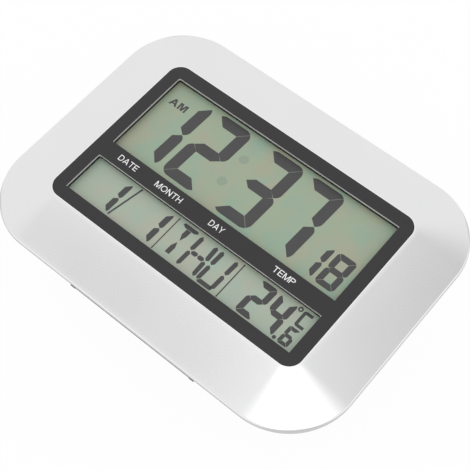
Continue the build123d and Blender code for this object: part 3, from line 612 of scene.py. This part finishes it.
NODE_FINISHES = {
    film_green: ["front_polariser"],
    cover_black: ["rear_cover"],
    stand_black: ["stand", "battery_door"],
    black_foam: ["lcd_gasket"],
    plain_finish("display_glass", (0.62, 0.68, 0.66), 0.08, grain=2.0, relief=0.0005, spread=0.02,
                 Coat_Weight=0.5): ["front_glass", "rear_glass"],
    brushed_metal("reflector_film", (0.62, 0.63, 0.60), 0.35): ["reflector"],
    striped_rubber(): ["contact_strip"],
    plain_finish("white_plastic", (0.72, 0.71, 0.68), 0.42): ["lcd_holder"],
    brushed_metal("screw_steel", (0.52, 0.51, 0.49), 0.3, (1, 1, 0.1)): ["holder_screws", "board_screws",
                                                                     "cover_screws"],
    laminate_board(): ["main_board"],
    plain_finish("black_epoxy", (0.012, 0.012, 0.013), 0.25, grain=1.2, relief=0.02): ["controller_blob",
                                                                              "thermistor"],
    brushed_metal("bright_can", (0.75, 0.75, 0.74), 0.2): ["watch_crystal"],
    plain_finish("capacitor_body", (0.36, 0.24, 0.14), 0.4, grain=0.2): ["board_capacitors"],
    plain_finish("switch_plastic", (0.025, 0.025, 0.027), 0.4): ["switch_bodies"] + [
        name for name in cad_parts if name.endswith("_stem")],
    brushed_metal("contact_steel", (0.60, 0.59, 0.56), 0.25, (1, 0.1, 1)): ["battery_springs",
                                                                        "battery_contacts"],
    plain_finish("red_wire", (0.50, 0.02, 0.015), 0.4, grain=0.6): ["positive_wire"],
    plain_finish("black_wire", (0.02, 0.02, 0.02), 0.4, grain=0.6): ["negative_wire", "buzzer_leads"],
    brushed_metal("buzzer_brass", (0.70, 0.52, 0.22), 0.28): ["buzzer_disc"],
    plain_finish("buzzer_ceramic", (0.78, 0.76, 0.68), 0.5, grain=0.3): ["buzzer_ceramic"],
}
for finish, names in NODE_FINISHES.items():
    for name in names:
        for material_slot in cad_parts[name].material_slots:
            material_slot.material = finish


# -------------------- silver frame
def window_places():
    """The two windows, each as (x0, y0, x1, y1): the date's below and the time's above."""
    side = sheet_high[0] - WINDOW_SIDE
    bottom = sheet_low[1] + WINDOW_BOTTOM
    bar_low = bottom + DATE_WINDOW_H
    return [(-side, bottom, side, bar_low),
            (-side, bar_low + WINDOW_BAR, side, sheet_high[1] - WINDOW_TOP)]


def window_tools(radius, profile):
    """Rounded prisms that fill the windows, with a profile of (inset, z)."""
    parts = []
    for x0, y0, x1, y1 in window_places():
        parts.append(carried(profile, (x1 - x0) / 2, (y1 - y0) / 2, radius, (x0 + x1) / 2, (y0 + y1) / 2,
                             corner_steps=6, side_steps=2))
    return mesh_of("windows", *joined(parts))


def frame_profile():
    """The frame's section as (inset, z), from the sheet's recess outwards, over the rim and back inside.

    The band is a straight slope with a parabola of the crown's height over it. The rim's edge is an
    arc that touches the band's slope at its end and turns upright, and the side leans out from there.
    """
    drop = face_z - RIM_TOP_Z
    fall = (drop + 4 * BAND_CROWN) / BAND_W
    lean = atan(fall)
    edge_x = RIM_DRAFT + RIM_EDGE_R
    edge_in = edge_x - RIM_EDGE_R * sin(lean)
    edge_z = RIM_TOP_Z + edge_x * fall - RIM_EDGE_R / cos(lean)
    recess = BAND_W + LIP_W
    lip = arc(recess - LIP_R, face_z - LIP_R, LIP_R, 0, 90, 4)
    inset = np.linspace(BAND_W - LIP_W / 4, edge_in, BAND_ROWS)
    share = inset / BAND_W
    band = np.column_stack([inset, RIM_TOP_Z + drop * share + 4 * BAND_CROWN * share * (1 - share)])
    top_edge = arc(edge_x, edge_z, RIM_EDGE_R, 90 + degrees(lean), 180, 6)[1:]
    back_edge = arc(EDGE, RIM_BACK_Z + EDGE, EDGE, 180, 270, 4)
    slope = drop / BAND_W
    wall_fall = WALL * sqrt(1 + slope ** 2)
    under_z = sheet_z - PANEL_T
    under_in = BAND_W - (face_z - wall_fall - under_z) / slope
    inside = [(WALL, RIM_BACK_Z), (WALL, RIM_TOP_Z + WALL * slope - wall_fall), (under_in, under_z)]
    return np.vstack([[(recess, sheet_z)], lip, band, top_edge, back_edge, inside])


def corner_share(points):
    """How far each point is into a corner of the rim, from 0 to 1.

    It is the squared sine of twice the turn about the corner's centre, times the square of what is
    left of the way across the band.
    """
    centre = np.array([half_w - RIM_CORNER_R, half_h - RIM_CORNER_R])
    out = np.maximum(np.abs(points[:, :2]) - centre, 0)
    across = np.clip((RIM_CORNER_R - np.hypot(*out.T)) / BAND_W, 0, 1)
    return np.sin(2 * np.arctan2(out[:, 1], out[:, 0])) ** 2 * (1 - across) ** 2


def mark_corners(piece):
    """Stores each point's share of a corner, which the painted shade of the rim's side follows."""
    shares = piece.data.attributes.new("corner_share", "FLOAT", "POINT")
    shares.data.foreach_set("value", corner_share(points_of(piece.data) / MM))


def make_frame():
    """The silver frame: its section carried round the rim, with the two stepped windows cut out."""
    spread = (RIM_CORNER_R - PANEL_R) / BAND_W
    ring = mesh_of("silver_frame", *carried(frame_profile(), half_w, half_h, RIM_CORNER_R, spread=spread))
    shell = cut(ring, window_tools(WINDOW_R, [(-REBATE_W, sheet_z - PANEL_T - PAST), (-REBATE_W, REBATE_Z),
                                              (0, REBATE_Z), (0, face_z + PAST)]))
    piece = link_piece("silver_frame", shell, silver, ["front_frame"])
    # painted shade: below the rebate the windows' walls get the gasket's black, for the shadow gap beside the
    # display
    finish_window_walls(piece, moulded_grey, black_foam, REBATE_Z,
                        sheet_high[0] - RECESS_CLEAR, sheet_high[1] - RECESS_CLEAR)
    mark_corners(piece)


# Screw bosses inside the frame: radius, bore's radius, lower end and bore's end, then where they stand.
COVER_BOSS = (3.3, 1.35, 8.1, 18.5)
COVER_BOSS_PLACES = [(x, y) for x in (-98.0, 98.0) for y in (-68.1, 0.0, 68.1)]
HOLDER_BOSS = (2.6, 0.85, 20.25, 24.2)
HOLDER_BOSS_PLACES = [(x, y) for x in (-93.6, 93.6) for y in (-41.275, 38.725)]
HOLDER_BOSS_PLACES += [(x, y) for x in (-45.0, 45.0) for y in (-61.95, 59.4)]
BOSS_ROOT = 1.0  # how far a boss runs into the frame's wall
BOSS_CHAMFER = 0.3


def under_frame(x, y):
    """The height of the frame's inside over a place: a slope in from the rim, or the plate's underside."""
    side = np.abs((x, y)) - (half_w - RIM_CORNER_R, half_h - RIM_CORNER_R)
    in_from_rim = RIM_CORNER_R - (np.hypot(*side) if min(side) > 0 else max(side))
    slope = (face_z - RIM_TOP_Z) / BAND_W
    sloping = RIM_TOP_Z + slope * in_from_rim - WALL * sqrt(1 + slope ** 2)
    return min(sloping, sheet_z - PANEL_T)


def make_bosses():
    """The bosses: tubes with chamfered ends, closed at the top and run into the frame's wall."""
    parts = []
    kinds = ((COVER_BOSS, COVER_BOSS_PLACES), (HOLDER_BOSS, HOLDER_BOSS_PLACES))
    for (radius, bore, low, bore_end), places in kinds:
        for x, y in places:
            high = under_frame(x, y) + BOSS_ROOT
            profile = [(0, bore_end), (bore, bore_end), (bore, low + BOSS_CHAMFER),
                       (bore + BOSS_CHAMFER, low), (radius - BOSS_CHAMFER, low),
                       (radius, low + BOSS_CHAMFER), (radius, high), (0, high)]
            parts.append(turned(profile, x, y, columns=32))
    link_piece("frame_bosses", joined(parts), moulded_grey)


def make_sheet():
    """The black sheet in the frame's recess: a flat plate with a rounded upper edge and its two windows."""
    edge = arc(SHEET_EDGE, face_z - INK_T - SHEET_EDGE, SHEET_EDGE, 180, 90, 3)
    profile = np.vstack([[(0, sheet_z)], edge])
    plate = mesh_of("black_sheet", *carried(profile, sheet_high[0], sheet_high[1], PANEL_R))
    sheet = cut(plate, window_tools(PRINT_WINDOW_R, [(0, sheet_z - PAST), (0, face_z + PAST)]))
    link_piece("black_sheet", sheet, black_print, ["panel_overlay"])


# -------------------- printed words
# Each word's left and right end, and the foot and top of them all.
WORDS = {"DATE": (-74.4, -59.7), "MONTH": (-44.65, -24.5), "DAY": (-2.3, 8.25), "TEMP": (45.75, 61.1)}
WORDS_Y = (-18.45, -14.35)
PRINT_STROKE = 0.125  # width of a letter's strokes, as a share of its height
LETTER_GAP = 0.14  # and the space between two letters


def bowed(left, right, low, high, stroke):
    """A bow open to the left: straight ends that run into an outer and an inner half ellipse."""
    rise = (high - low) / 2
    turn_x = left + 0.4 * (right - left)
    outer = arc(turn_x, low + rise, (right - turn_x, rise), 90, -90, 12)
    inner = arc(turn_x, low + rise, (right - turn_x - stroke, rise - stroke), -90, 90, 12)
    return np.concatenate([[(left, high)], outer, [(left, low), (left, low + stroke)], inner,
                           [(left, high - stroke)]])


def symmetrical(width, half, middle=()):
    """A closed outline: its left half, the points on its middle line, and the half mirrored."""
    half = np.array(half, float)
    return np.array([*half, *middle, *(half[::-1] * (-1, 1) + (width, 0))])


def capital(letter, t):
    """A plain capital of height 1 with strokes t wide: its width and its outlines, where a pair is hollow.

    Each is straight strokes, with a height for the fork or notch, and bows or a ring where it is round.
    """
    stem = [(0, 0), (t, 0), (t, 1), (0, 1)]
    low, high = (1 - t) / 2, (1 + t) / 2
    if letter == "A":
        w, foot, top = 0.94, 1.12 * t, 0.6 * t
        run = w / 2 - top
        legs = symmetrical(w, [(run, 1), (0, 0), (foot, 0)], [(w / 2, (w / 2 - foot) / run)])
        return w, [legs, symmetrical(w, [(foot + run * y, y) for y in (0.23, 0.23 + t)])]
    if letter == "D":
        return 0.86, [stem, bowed(t, 0.86, 0, 1, t)]
    if letter == "E":
        w = 0.72
        arm = 0.93 * w
        return w, [[(0, 0), (0, 1), (w, 1), (w, 1 - t), (t, 1 - t), (t, high), (arm, high), (arm, low),
                    (t, low), (t, t), (w, t), (w, 0)]]
    if letter == "H":
        w = 0.79
        return w, [symmetrical(w, [(t, low), (t, 0), (0, 0), (0, 1), (t, 1), (t, high)])]
    if letter == "M":
        w, notch = 0.98, 0.8
        lean = (w / 2 - 1.5 * t) / notch
        shoulder = 2 * t - (1 - notch) * lean
        valley = 1 - (w / 2 - shoulder) / lean
        half = [((w - t) / 2, 0), (t, notch), (t, 0), (0, 0), (0, 1), (shoulder, 1)]
        return w, [symmetrical(w, half, [(w / 2, valley)])]
    if letter == "N":
        w, notch, shoulder = 0.8, 0.77, 1.2 * t
        return w, [[(0, 0), (0, 1), (shoulder, 1), (w - t, 1 - notch), (w - t, 1), (w, 1), (w, 0),
                    (w - shoulder, 0), (t, notch), (t, 0)]]
    if letter == "O":
        return 1.0, [(disc(0.5, 0.5, (0.5, 0.51), 32), disc(0.5, 0.5, (0.5 - t, 0.51 - t), 32))]
    if letter == "P":
        return 0.77, [stem, bowed(t, 0.77, 0.42, 1, t)]
    if letter == "T":
        w = 0.84
        left = (w - t) / 2
        return w, [symmetrical(w, [(left, 0), (left, 1 - t), (0, 1 - t), (0, 1)])]
    if letter == "Y":
        w, fork = 0.9, 0.42
        left = (w - t) / 2
        return w, [symmetrical(w, [(left, 0), (left, fork), (0, 1), (1.2 * t, 1)], [(w / 2, fork + 0.8 * t)])]
    raise ValueError("no plain capital for " + letter)


def capitals(word, place, stroke, low, high):
    """A word of plain capitals as closed prisms that fill place, (x0, y0, x1, y1)."""
    x0, y0, x1, y1 = place
    letters = [capital(letter, stroke) for letter in word]
    length = sum(width for width, _ in letters) + LETTER_GAP * (len(word) - 1)
    scale = np.array([(x1 - x0) / length, y1 - y0])
    parts = []
    left = 0.0
    for width, shapes in letters:
        for shape in shapes:
            outlines = [np.array([x0, y0]) + (np.array(outline) + (left, 0)) * scale
                        for outline in (shape if isinstance(shape, tuple) else [shape])]
            solid = hollow_prism(*outlines, low, high) if len(outlines) == 2 else prisms(outlines, low, high)
            parts.append(solid)
        left += width + LETTER_GAP
    return joined(parts)


def make_words():
    """The names of the fields, printed in white on the bar between the windows."""
    parts = [capitals(word, (x0, WORDS_Y[0], x1, WORDS_Y[1]), PRINT_STROKE, face_z - INK_T, face_z)
             for word, (x0, x1) in WORDS.items()]
    link_piece("printed_words", joined(parts), white_print)


# -------------------- display segments
SEGMENT_T = 0.03
SLANT = 0.035  # sideways lean of a digit, per millimetre of height
POINT = 0.38  # edge of a digit to its segments' points, in strokes
LIT = {1: "bc", 2: "abged", 3: "abgcd", 4: "fgbc", 6: "afgedc", 7: "abc", 8: "abcdefg"}


class Digit(NamedTuple):
    """A seven-segment digit of one size: a and d are its top and bottom bars, g its middle one,
    f and e its left sides from the top, and b and c its right sides."""
    width: float
    height: float
    stroke: float
    corner: float
    gap: float

    def bar(self):
        """The top bar: an arc of each outer corner up to its diagonal, and an inner edge one stroke down."""
        w, h, t, r, gap = self.width / 2, self.height / 2, self.stroke, self.corner, self.gap
        turn = degrees(gap / 2 / r)
        inner = t + gap / sqrt(2)
        return np.concatenate([arc(w - r, h - r, r, 45 + turn, 90), arc(r - w, h - r, r, 90, 135 - turn),
                               [(inner - w, h - t), (w - inner, h - t)]])

    def side(self):
        """The upper left side: from the corner's diagonal down to a blunt point beside the middle.

        The point's outer side is a quadratic curve from the straight edge, drawn by a point below it.
        """
        w, h, t, r, gap = self.width / 2, self.height / 2, self.stroke, self.corner, self.gap
        turn = degrees(gap / 2 / r)
        share = np.linspace(0, 1, 7)[:, None]
        start, pull, end = np.array([(-w, 0.65 * t), (-w, 0.22 * t), (POINT * t - w, 0.7 * gap)])
        curve = (1 - share) ** 2 * start + 2 * share * (1 - share) * pull + share ** 2 * end
        return np.concatenate([arc(r - w, h - r, r, 135 + turn, 180), curve,
                               [(t - w, t / 2), (t - w, h - t - gap / sqrt(2))]])

    def middle(self):
        """The middle bar: six corners, with its points between the sides' ends."""
        w, t = self.width / 2, self.stroke
        tip = POINT * t + self.gap
        return np.array([(tip - w, 0), (t - w, -t / 2), (w - t, -t / 2), (w - tip, 0), (w - t, t / 2),
                         (t - w, t / 2)])

    def outlines(self, value, left, middle_y):
        """The lit segments of a value, leaned to the right about the digit's middle."""
        mirror = {"d": (1, -1), "e": (1, -1), "b": (-1, 1), "c": (-1, -1)}
        shapes = {"a": self.bar, "d": self.bar, "g": self.middle}
        found = []
        for letter in LIT[value]:
            outline = shapes.get(letter, self.side)() * mirror.get(letter, (1, 1))
            outline[:, 0] += SLANT * outline[:, 1]
            found.append(outline + (left + self.width / 2, middle_y))
        return found


def line(start, end, width):
    """A straight line's outline, with square ends."""
    start, end = np.array(start, float), np.array(end, float)
    along = (end - start) / np.linalg.norm(end - start)
    across = np.array([-along[1], along[0]]) * width / 2
    return np.array([start - across, end - across, end + across, start + across])


def disc(x, y, radius, steps=24):
    """A circle's outline, or an ellipse's for two radii."""
    return arc(x, y, radius, 0, 360 - 360 / steps, steps - 1)


def bar_letters():
    """THU in the sloped bars of the weekday field: one outline for each lit bar."""
    t_shape = [[(-15.4, -25.2), (-14.5, -23.9), (-4.8, -23.9), (-3.8, -25.2), (-6.0, -26.6), (-13.0, -26.6)],
               [(-11.4, -26.8), (-8.0, -26.8), (-8.3, -31.0), (-9.8, -35.3), (-11.6, -31.0)],
               [(-10.1, -36.6), (-8.6, -40.5), (-8.8, -45.9), (-12.0, -45.9), (-11.8, -40.5)]]
    upper_bar = np.array([(0.55, 5.6), (2.1, 3.8), (1.7, -4.1), (0.3, -5.7), (-1.25, -4.5), (-0.85, 4.2)])
    lower_bar = np.array([(0.1, 5.8), (1.65, 4.3), (1.3, -4.0), (-0.35, -5.6), (-1.5, -4.3), (-1.2, 4.6)])
    middle_bar = np.array([(-2.2, 0), (-1.0, 1.45), (1.9, 1.45), (2.6, 0), (1.6, -1.45), (-1.0, -1.45)])
    h_shape = [upper_bar + (-0.85, -30.1), lower_bar + (-0.85, -42.2), middle_bar + (2.4, -36.3),
               upper_bar * (-1, 1) + (11.1, -30.1), lower_bar * (-1, 1) + (10.9, -42.2),
               middle_bar * (-1, 1) + (7.75, -36.3)]
    u_shape = [upper_bar + (14.7, -30.1), lower_bar + (14.55, -42.2), upper_bar + (25.3, -30.1),
               lower_bar + (25.15, -42.2),
               [(14.6, -48.2), (16.2, -46.2), (24.0, -46.2), (25.4, -47.9), (24.6, -49.0), (15.4, -49.0)]]
    return t_shape + h_shape + u_shape


# Each field of digits: its digit, the height of their middle, and each lit value with its left edge.
FIELDS = {
    "time_digits": (Digit(width=26.8, height=55.8, stroke=7.7, corner=6.0, gap=0.2), 21.9,
                    [(1, -81.7), (2, -50.86), (3, -9.56), (7, 21.4)]),
    "seconds_digits": (Digit(width=13.4, height=24.3, stroke=3.95, corner=3.0, gap=0.2), 6.05,
                       [(1, 51.2), (8, 67.0)]),
    "date_digits": (Digit(width=12.4, height=25.1, stroke=3.9, corner=3.0, gap=0.2), -36.4,
                    [(1, -68.4), (1, -35.6), (2, 43.4), (4, 58.0)]),
    "tenths_digit": (Digit(width=7.3, height=12.7, stroke=2.3, corner=1.6, gap=0.15), -42.65, [(6, 74.05)]),
}
# The slash of the date and the two lines beside the weekday: start, end and width.
FIELD_LINES = [((-50.1, -22.9), (-55.1, -48.5), 1.2), ((-19.45, -23.5), (-19.45, -49.5), 0.75),
               ((30.2, -23.0), (30.2, -49.5), 0.8)]
AM_PLACE = (-81.0, 34.8, -68.0, 40.2)
AM_STROKE = 0.2  # as a share of its height
DECIMAL_POINT = (71.6, -47.9, 1.2)  # x, y and radius, as the next ones
DEGREE_RING = (72.75, -25.0, 1.65)
DEGREE_HOLE = (72.75, -25.0, 0.7)
COLON_DOTS = [(-16.7, 32.0, 3.2), (-17.2, 12.0, 3.2)]


def celsius_sign():
    """A squared C: two arms of one stroke, with rounded outer corners."""
    right, top, bottom, stroke, round_r = 81.4, -23.9, -35.1, 2.0, 1.8
    left = 75.1
    inner = left + stroke
    return np.concatenate([[(right, top)], arc(left + round_r, top - round_r, round_r, 90, 180),
                           arc(left + round_r, bottom + round_r, round_r, 180, 270),
                           [(right, bottom), (right, bottom + stroke), (inner, bottom + stroke),
                            (inner, top - stroke), (right, top - stroke)]])


def make_display():
    """The lit segments as thin prisms on the display's film, and the colon's faint dots."""
    low, high = lcd_z, lcd_z + SEGMENT_T
    for name, (digit, y, values) in FIELDS.items():
        outlines = [outline for value, left in values for outline in digit.outlines(value, left, y)]
        link_piece(name, prisms(outlines, low, high), ink_dark)
    signs = [line(*ends) for ends in FIELD_LINES] + bar_letters() + [celsius_sign(), disc(*DECIMAL_POINT)]
    parts = [prisms(signs, low, high), capitals("AM", AM_PLACE, AM_STROKE, low, high),
             hollow_prism(disc(*DEGREE_RING), disc(*DEGREE_HOLE), low, high)]
    link_piece("display_signs", joined(parts), ink_dark)
    dots = prisms([disc(*dot) for dot in COLON_DOTS], low, low + SEGMENT_T / 2)
    link_piece("colon_dots", dots, ink_faint)


# -------------------- buttons and cells
CAP_R = 4.3
CAP_EDGE_R = 0.5
CAP_DISH = 0.3
CAP_DISH_R = 3.2
FLANGE_R = 5.6
FLANGE_LOW = 2.5
FLANGE_HIGH = 3.6
ROD_R = 2.0
FLANGE_EDGE = 0.1
ROD_EDGE = 0.2
LEGENDS = {"alarm": "ALARM", "hour_mode": "12/24", "set": "SET", "up": "UP", "down": "DOWN",
           "temperature_unit": "°C/°F"}
LEGEND_H = 1.9
LEGEND_HALF_W = 0.36  # half a letter's width, as a share of its height
LEGEND_OUT = 5.5  # button's middle to the foot of its word
LEGEND_RELIEF = 0.25
LEGEND_ROOT = 0.1  # how far a word runs into the cover
RECESS_FLOOR_Z = 0.8


def button_profile():
    """A cap with a shallow dish, whose depth is a parabola, and a rounded edge, a flange, and a rod."""
    face, end = button_low[2], button_high[2]
    across = np.linspace(0, CAP_DISH_R, 7)
    dish = np.column_stack([across, face + CAP_DISH * (1 - (across / CAP_DISH_R) ** 2)])
    edge = arc(CAP_R - CAP_EDGE_R, face + CAP_EDGE_R, CAP_EDGE_R, -90, 0, 5)
    stem = [(CAP_R, FLANGE_LOW), (FLANGE_R - FLANGE_EDGE, FLANGE_LOW), (FLANGE_R, FLANGE_LOW + FLANGE_EDGE),
            (FLANGE_R, FLANGE_HIGH), (ROD_R, FLANGE_HIGH), (ROD_R, end - ROD_EDGE), (ROD_R - ROD_EDGE, end),
            (0, end)]
    return np.vstack([dish, edge, stem])


def make_buttons():
    """The six round buttons, and the raised words beside them on the cover."""
    row_y = middle("set_button")[1]
    words = []
    for name, word in LEGENDS.items():
        node = name + "_button"
        x = middle(node)[0]
        cap = turned(button_profile(), x, row_y)
        link_piece(name + "_cap", cap, button_grey, [node], node)
        half = LEGEND_HALF_W * LEGEND_H * len(word)
        foot = row_y + LEGEND_OUT
        words.append(lettering(word, (x - half, foot, x + half, foot + LEGEND_H),
                               RECESS_FLOOR_Z - LEGEND_RELIEF, RECESS_FLOOR_Z + LEGEND_ROOT))
    link_piece("button_words", joined(words), white_print)


CELL_R = 7.15
CELL_L = 50.0
CELL_EDGE = 0.7
BODY_L = 48.8  # base to the plus end's crimp, without the nub
NUB_R = 2.6
# The ends' outlines as (radius, place along the cell): the base with its ring, and the crimp with its nub.
MINUS_END = [(0, 0.15), (4.6, 0.15), (4.9, 0), (5.9, 0), (6.1, 0.2)]
PLUS_END = [(5.6, BODY_L - 0.25), (4.6, BODY_L - 0.25), (4.2, BODY_L - 0.5), (NUB_R + 0.2, BODY_L - 0.5),
            (NUB_R, BODY_L - 0.3), (NUB_R, CELL_L - 0.4), (NUB_R - 0.4, CELL_L), (0, CELL_L)]
SLEEVE_STEP = 0.02  # sleeve's middle lies this far in from its rolled ends
SLEEVE_ROLL = 3.0  # and they are this long


def cell_profile():
    """From the minus end's flat base, over the crimped sleeve, to the plus end's nub."""
    edge_r = CELL_R - CELL_EDGE
    sleeve_r = CELL_R - SLEEVE_STEP
    return np.vstack([MINUS_END, arc(edge_r, CELL_EDGE + 0.1, CELL_EDGE, degrees(0.3) - 90, 0, 4),
                      [(sleeve_r, SLEEVE_ROLL), (sleeve_r, BODY_L - SLEEVE_ROLL)],
                      arc(edge_r, BODY_L - CELL_EDGE, CELL_EDGE, 0, degrees(1.3), 4), PLUS_END])


def make_cells():
    """The two cells, turned about their own middles, the lower one end for end."""
    z = (cells_low[2] + cells_high[2]) / 2
    profile = cell_profile() + (0, cells_high[0] - CELL_L)
    upper = turned(profile, 0, cells_high[1] - CELL_R, z, 64, "x")
    lower = turned(profile * (1, -1), 0, cells_low[1] + CELL_R, z, 64, "x")
    link_piece("upper_cell", upper, sleeve, ["aa_cells"])
    link_piece("lower_cell", lower, sleeve)


DOOR_ARROW = [(0, -3.0), (3.4, 0.6), (1.3, 0.6), (1.3, 3.6), (-1.3, 3.6), (-1.3, 0.6), (-3.4, 0.6)]
DOOR_ARROW_Y = 11.0  # arrow's middle, over the door's lower edge
DOOR_ARROW_ROOT = 0.1  # how far it runs into the door


def make_door_arrow():
    """A raised arrow on the battery door that points at its latch."""
    x, y = (door_low[0] + door_high[0]) / 2, door_low[1] + DOOR_ARROW_Y
    arrow = prisms([np.array(DOOR_ARROW) + (x, y)], cad_low[2] / MM, door_low[2] + DOOR_ARROW_ROOT)
    link_piece("door_arrow", arrow, stand_black, (), "battery_door")


STAND_BARREL_R = 2.6
STAND_PIN_R = 1.5
STAND_PIN_L = 2.9  # barrel's end to the pin's
STAND_HINGE_Y = -88.65
STAND_HINGE_Z = 3.5
STAND_PLATE_LOW = 0.6
STAND_PLATE_HIGH = 3.2
STAND_CORNER_R = 5.0
STAND_EDGE_R = 0.5
GRIP_GROOVE_R = 0.6
GRIP_GROOVE_W = 18.0
GRIP_GROOVES_IN = (3.0, 5.4, 7.8)  # plate's free edge to each groove


def make_stand():
    """The fold-out stand: a plate with rounded free corners on a barrel with a pin at each end.

    The plate is a profile carried round a rounded rectangle whose lower corners are pressed flat onto
    the hinge line, so it ends square inside the barrel.
    """
    stand_high = box("stand")[1]
    half = stand_high[0] - STAND_PIN_L
    free_y = stand_high[1]
    low_y = STAND_HINGE_Y - STAND_CORNER_R
    edge = STAND_EDGE_R
    profile = np.vstack([arc(edge, STAND_PLATE_LOW + edge, edge, 270, 180, 5),
                         arc(edge, STAND_PLATE_HIGH - edge, edge, 180, 90, 5)])
    points, faces = carried(profile, half, (free_y - low_y) / 2, STAND_CORNER_R, 0, (free_y + low_y) / 2)
    points[:, 1] = np.maximum(points[:, 1], STAND_HINGE_Y)
    groove_end = GRIP_GROOVE_W / 2
    groove = [(0, -groove_end), (GRIP_GROOVE_R, -groove_end), (GRIP_GROOVE_R, groove_end), (0, groove_end)]
    grooves = [turned(groove, 0, free_y - inward, STAND_PLATE_LOW, 24, "x") for inward in GRIP_GROOVES_IN]
    plate = cut(mesh_of("folding_stand", points, faces), mesh_of("grooves", *joined(grooves)))
    pin_end = half + STAND_PIN_L
    end = np.vstack([arc(STAND_BARREL_R - edge, half - edge, edge, 0, 90, 5),
                     [(STAND_PIN_R, half), (STAND_PIN_R, pin_end), (0, pin_end)]])
    both_ends = np.vstack([end[::-1] * (1, -1), end])
    barrel = mesh_of("barrel", *turned(both_ends, 0, STAND_HINGE_Y, STAND_HINGE_Z, axis="x"))
    whole = bmesh.new()
    for mesh in (plate, barrel):
        whole.from_mesh(mesh)
    whole.to_mesh(plate)
    whole.free()
    bpy.data.meshes.remove(barrel)
    link_piece("folding_stand", plate, stand_black, ["stand"], "stand")


make_frame()
make_stand()
make_bosses()
make_sheet()
make_words()
make_display()
make_buttons()
make_cells()
make_door_arrow()


# -------------------- floor, light and camera
FLOOR_Z = -56.0  # clear of the stand when it is folded out
FLOOR_HALF = 20000.0
FLOOR_GLOW = 0.96  # share of its white that doesn't depend on the light


def make_floor():
    """A white floor that keeps the shadow, and that isn't there when seen from below."""
    finish = Finish("floor_white", Base_Color=(0.97, 0.97, 0.97, 1.0), Roughness=0.9, Specular_IOR_Level=0.0)
    seen = sum((finish.node("LightPath", output=ray) for ray in ("Is Glossy Ray", "Is Transmission Ray")),
               finish.node("LightPath", output="Is Camera Ray"))
    glow = finish.node("Emission", None, {"Color": (1, 1, 1, 1), "Strength": 1.0})
    lit = finish.node("MixShader", None, {0: seen * FLOOR_GLOW, 1: finish.shader, 2: glow})
    under = finish.node("NewGeometry", output="Backfacing")
    finish.show(finish.node("MixShader", None, {0: under, 1: lit, 2: finish.node("BsdfTransparent")}))
    corners = [(x * FLOOR_HALF, y * FLOOR_HALF, FLOOR_Z) for x, y in ((-1, -1), (1, -1), (1, 1), (-1, 1))]
    floor = linked("floor", mesh_of("floor", corners, [[0, 1, 2, 3]]))
    floor.data.materials.append(finish.material)
    floor.visible_shadow = False
    floor.visible_diffuse = False


SOFTBOX_Z = 1500.0
SOFTBOX_X = (-180.0, 1300.0)
SOFTBOX_Y = (-1200.0, 290.0)
SOFTBOX_BRIGHTNESS = 0.45


def make_lamp():
    """One wide softbox straight above, over the clock's lower right."""
    lamp = bpy.data.lights.new("softbox", "AREA")
    lamp.shape = "RECTANGLE"
    lamp.size = (SOFTBOX_X[1] - SOFTBOX_X[0]) * MM
    lamp.size_y = (SOFTBOX_Y[1] - SOFTBOX_Y[0]) * MM
    lamp.energy = SOFTBOX_BRIGHTNESS * pi * lamp.size * lamp.size_y
    softbox = linked("softbox", lamp)
    softbox.location = (sum(SOFTBOX_X) / 2 * MM, sum(SOFTBOX_Y) / 2 * MM, SOFTBOX_Z * MM)


ROOM_BRIGHTNESS = 0.913
# Darker patches of the room: direction, drop in brightness, and the angle at which each has faded out.
ROOM_SHADES = [((0.405, 0.500, 0.765), 0.30, 28.0), ((-0.375, -0.290, 0.880), 0.25, 13.0)]


def make_world():
    """A pale room with two softly darker patches in its ceiling."""
    world = bpy.data.worlds.new("pale_room")
    room = Nodes(world, "World")
    direction = room.node("TexCoord", output="Generated")
    level = ROOM_BRIGHTNESS
    for toward, drop, width in ROOM_SHADES:
        nearness = room.node("VectorMath", {"operation": "DOT_PRODUCT"}, {0: direction, 1: toward},
                             output="Value")
        angle = nearness.math("ARCCOSINE", nearness)
        level = level - (1 - angle.above(radians(width / 2), radians(width / 2))) * drop
    room.show(room.node("Background", None, {"Color": level, "Strength": 1.0}))
    bpy.context.scene.world = world


CAMERA_AZIMUTH = 42.24
CAMERA_ELEVATION = 60.67
CAMERA_ROLL = -2.57
CAMERA_DISTANCE = 659.5
CAMERA_TARGET = (14.89, -13.89, 28.16)
FOCAL_PIXELS = 1134.8
PICTURE_SIDE = 470
SENSOR = 36.0


def make_camera():
    """The camera: turned round the clock, raised over it, and rolled about its own view."""
    azimuth, elevation, roll = (radians(a) for a in (CAMERA_AZIMUTH, CAMERA_ELEVATION, CAMERA_ROLL))
    back = np.array([sin(azimuth) * cos(elevation), -cos(azimuth) * cos(elevation), sin(elevation)])
    level = np.cross((0, 0, 1), back)
    level /= np.linalg.norm(level)
    upright = np.cross(back, level)
    right = cos(roll) * level + sin(roll) * upright
    up = cos(roll) * upright - sin(roll) * level
    data = bpy.data.cameras.new("camera")
    data.sensor_width = SENSOR
    data.lens = SENSOR * FOCAL_PIXELS / PICTURE_SIDE
    camera = linked("camera", data)
    placed = Matrix.Identity(4)
    spot = (np.array(CAMERA_TARGET) + CAMERA_DISTANCE * back) * MM
    for column, vector in enumerate((right, up, back, spot)):
        for row in range(3):
            placed[row][column] = vector[row]
    camera.matrix_world = placed
    bpy.context.scene.camera = camera


make_floor()
make_lamp()
make_world()
make_camera()
bpy.context.scene.view_settings.view_transform = "Standard"
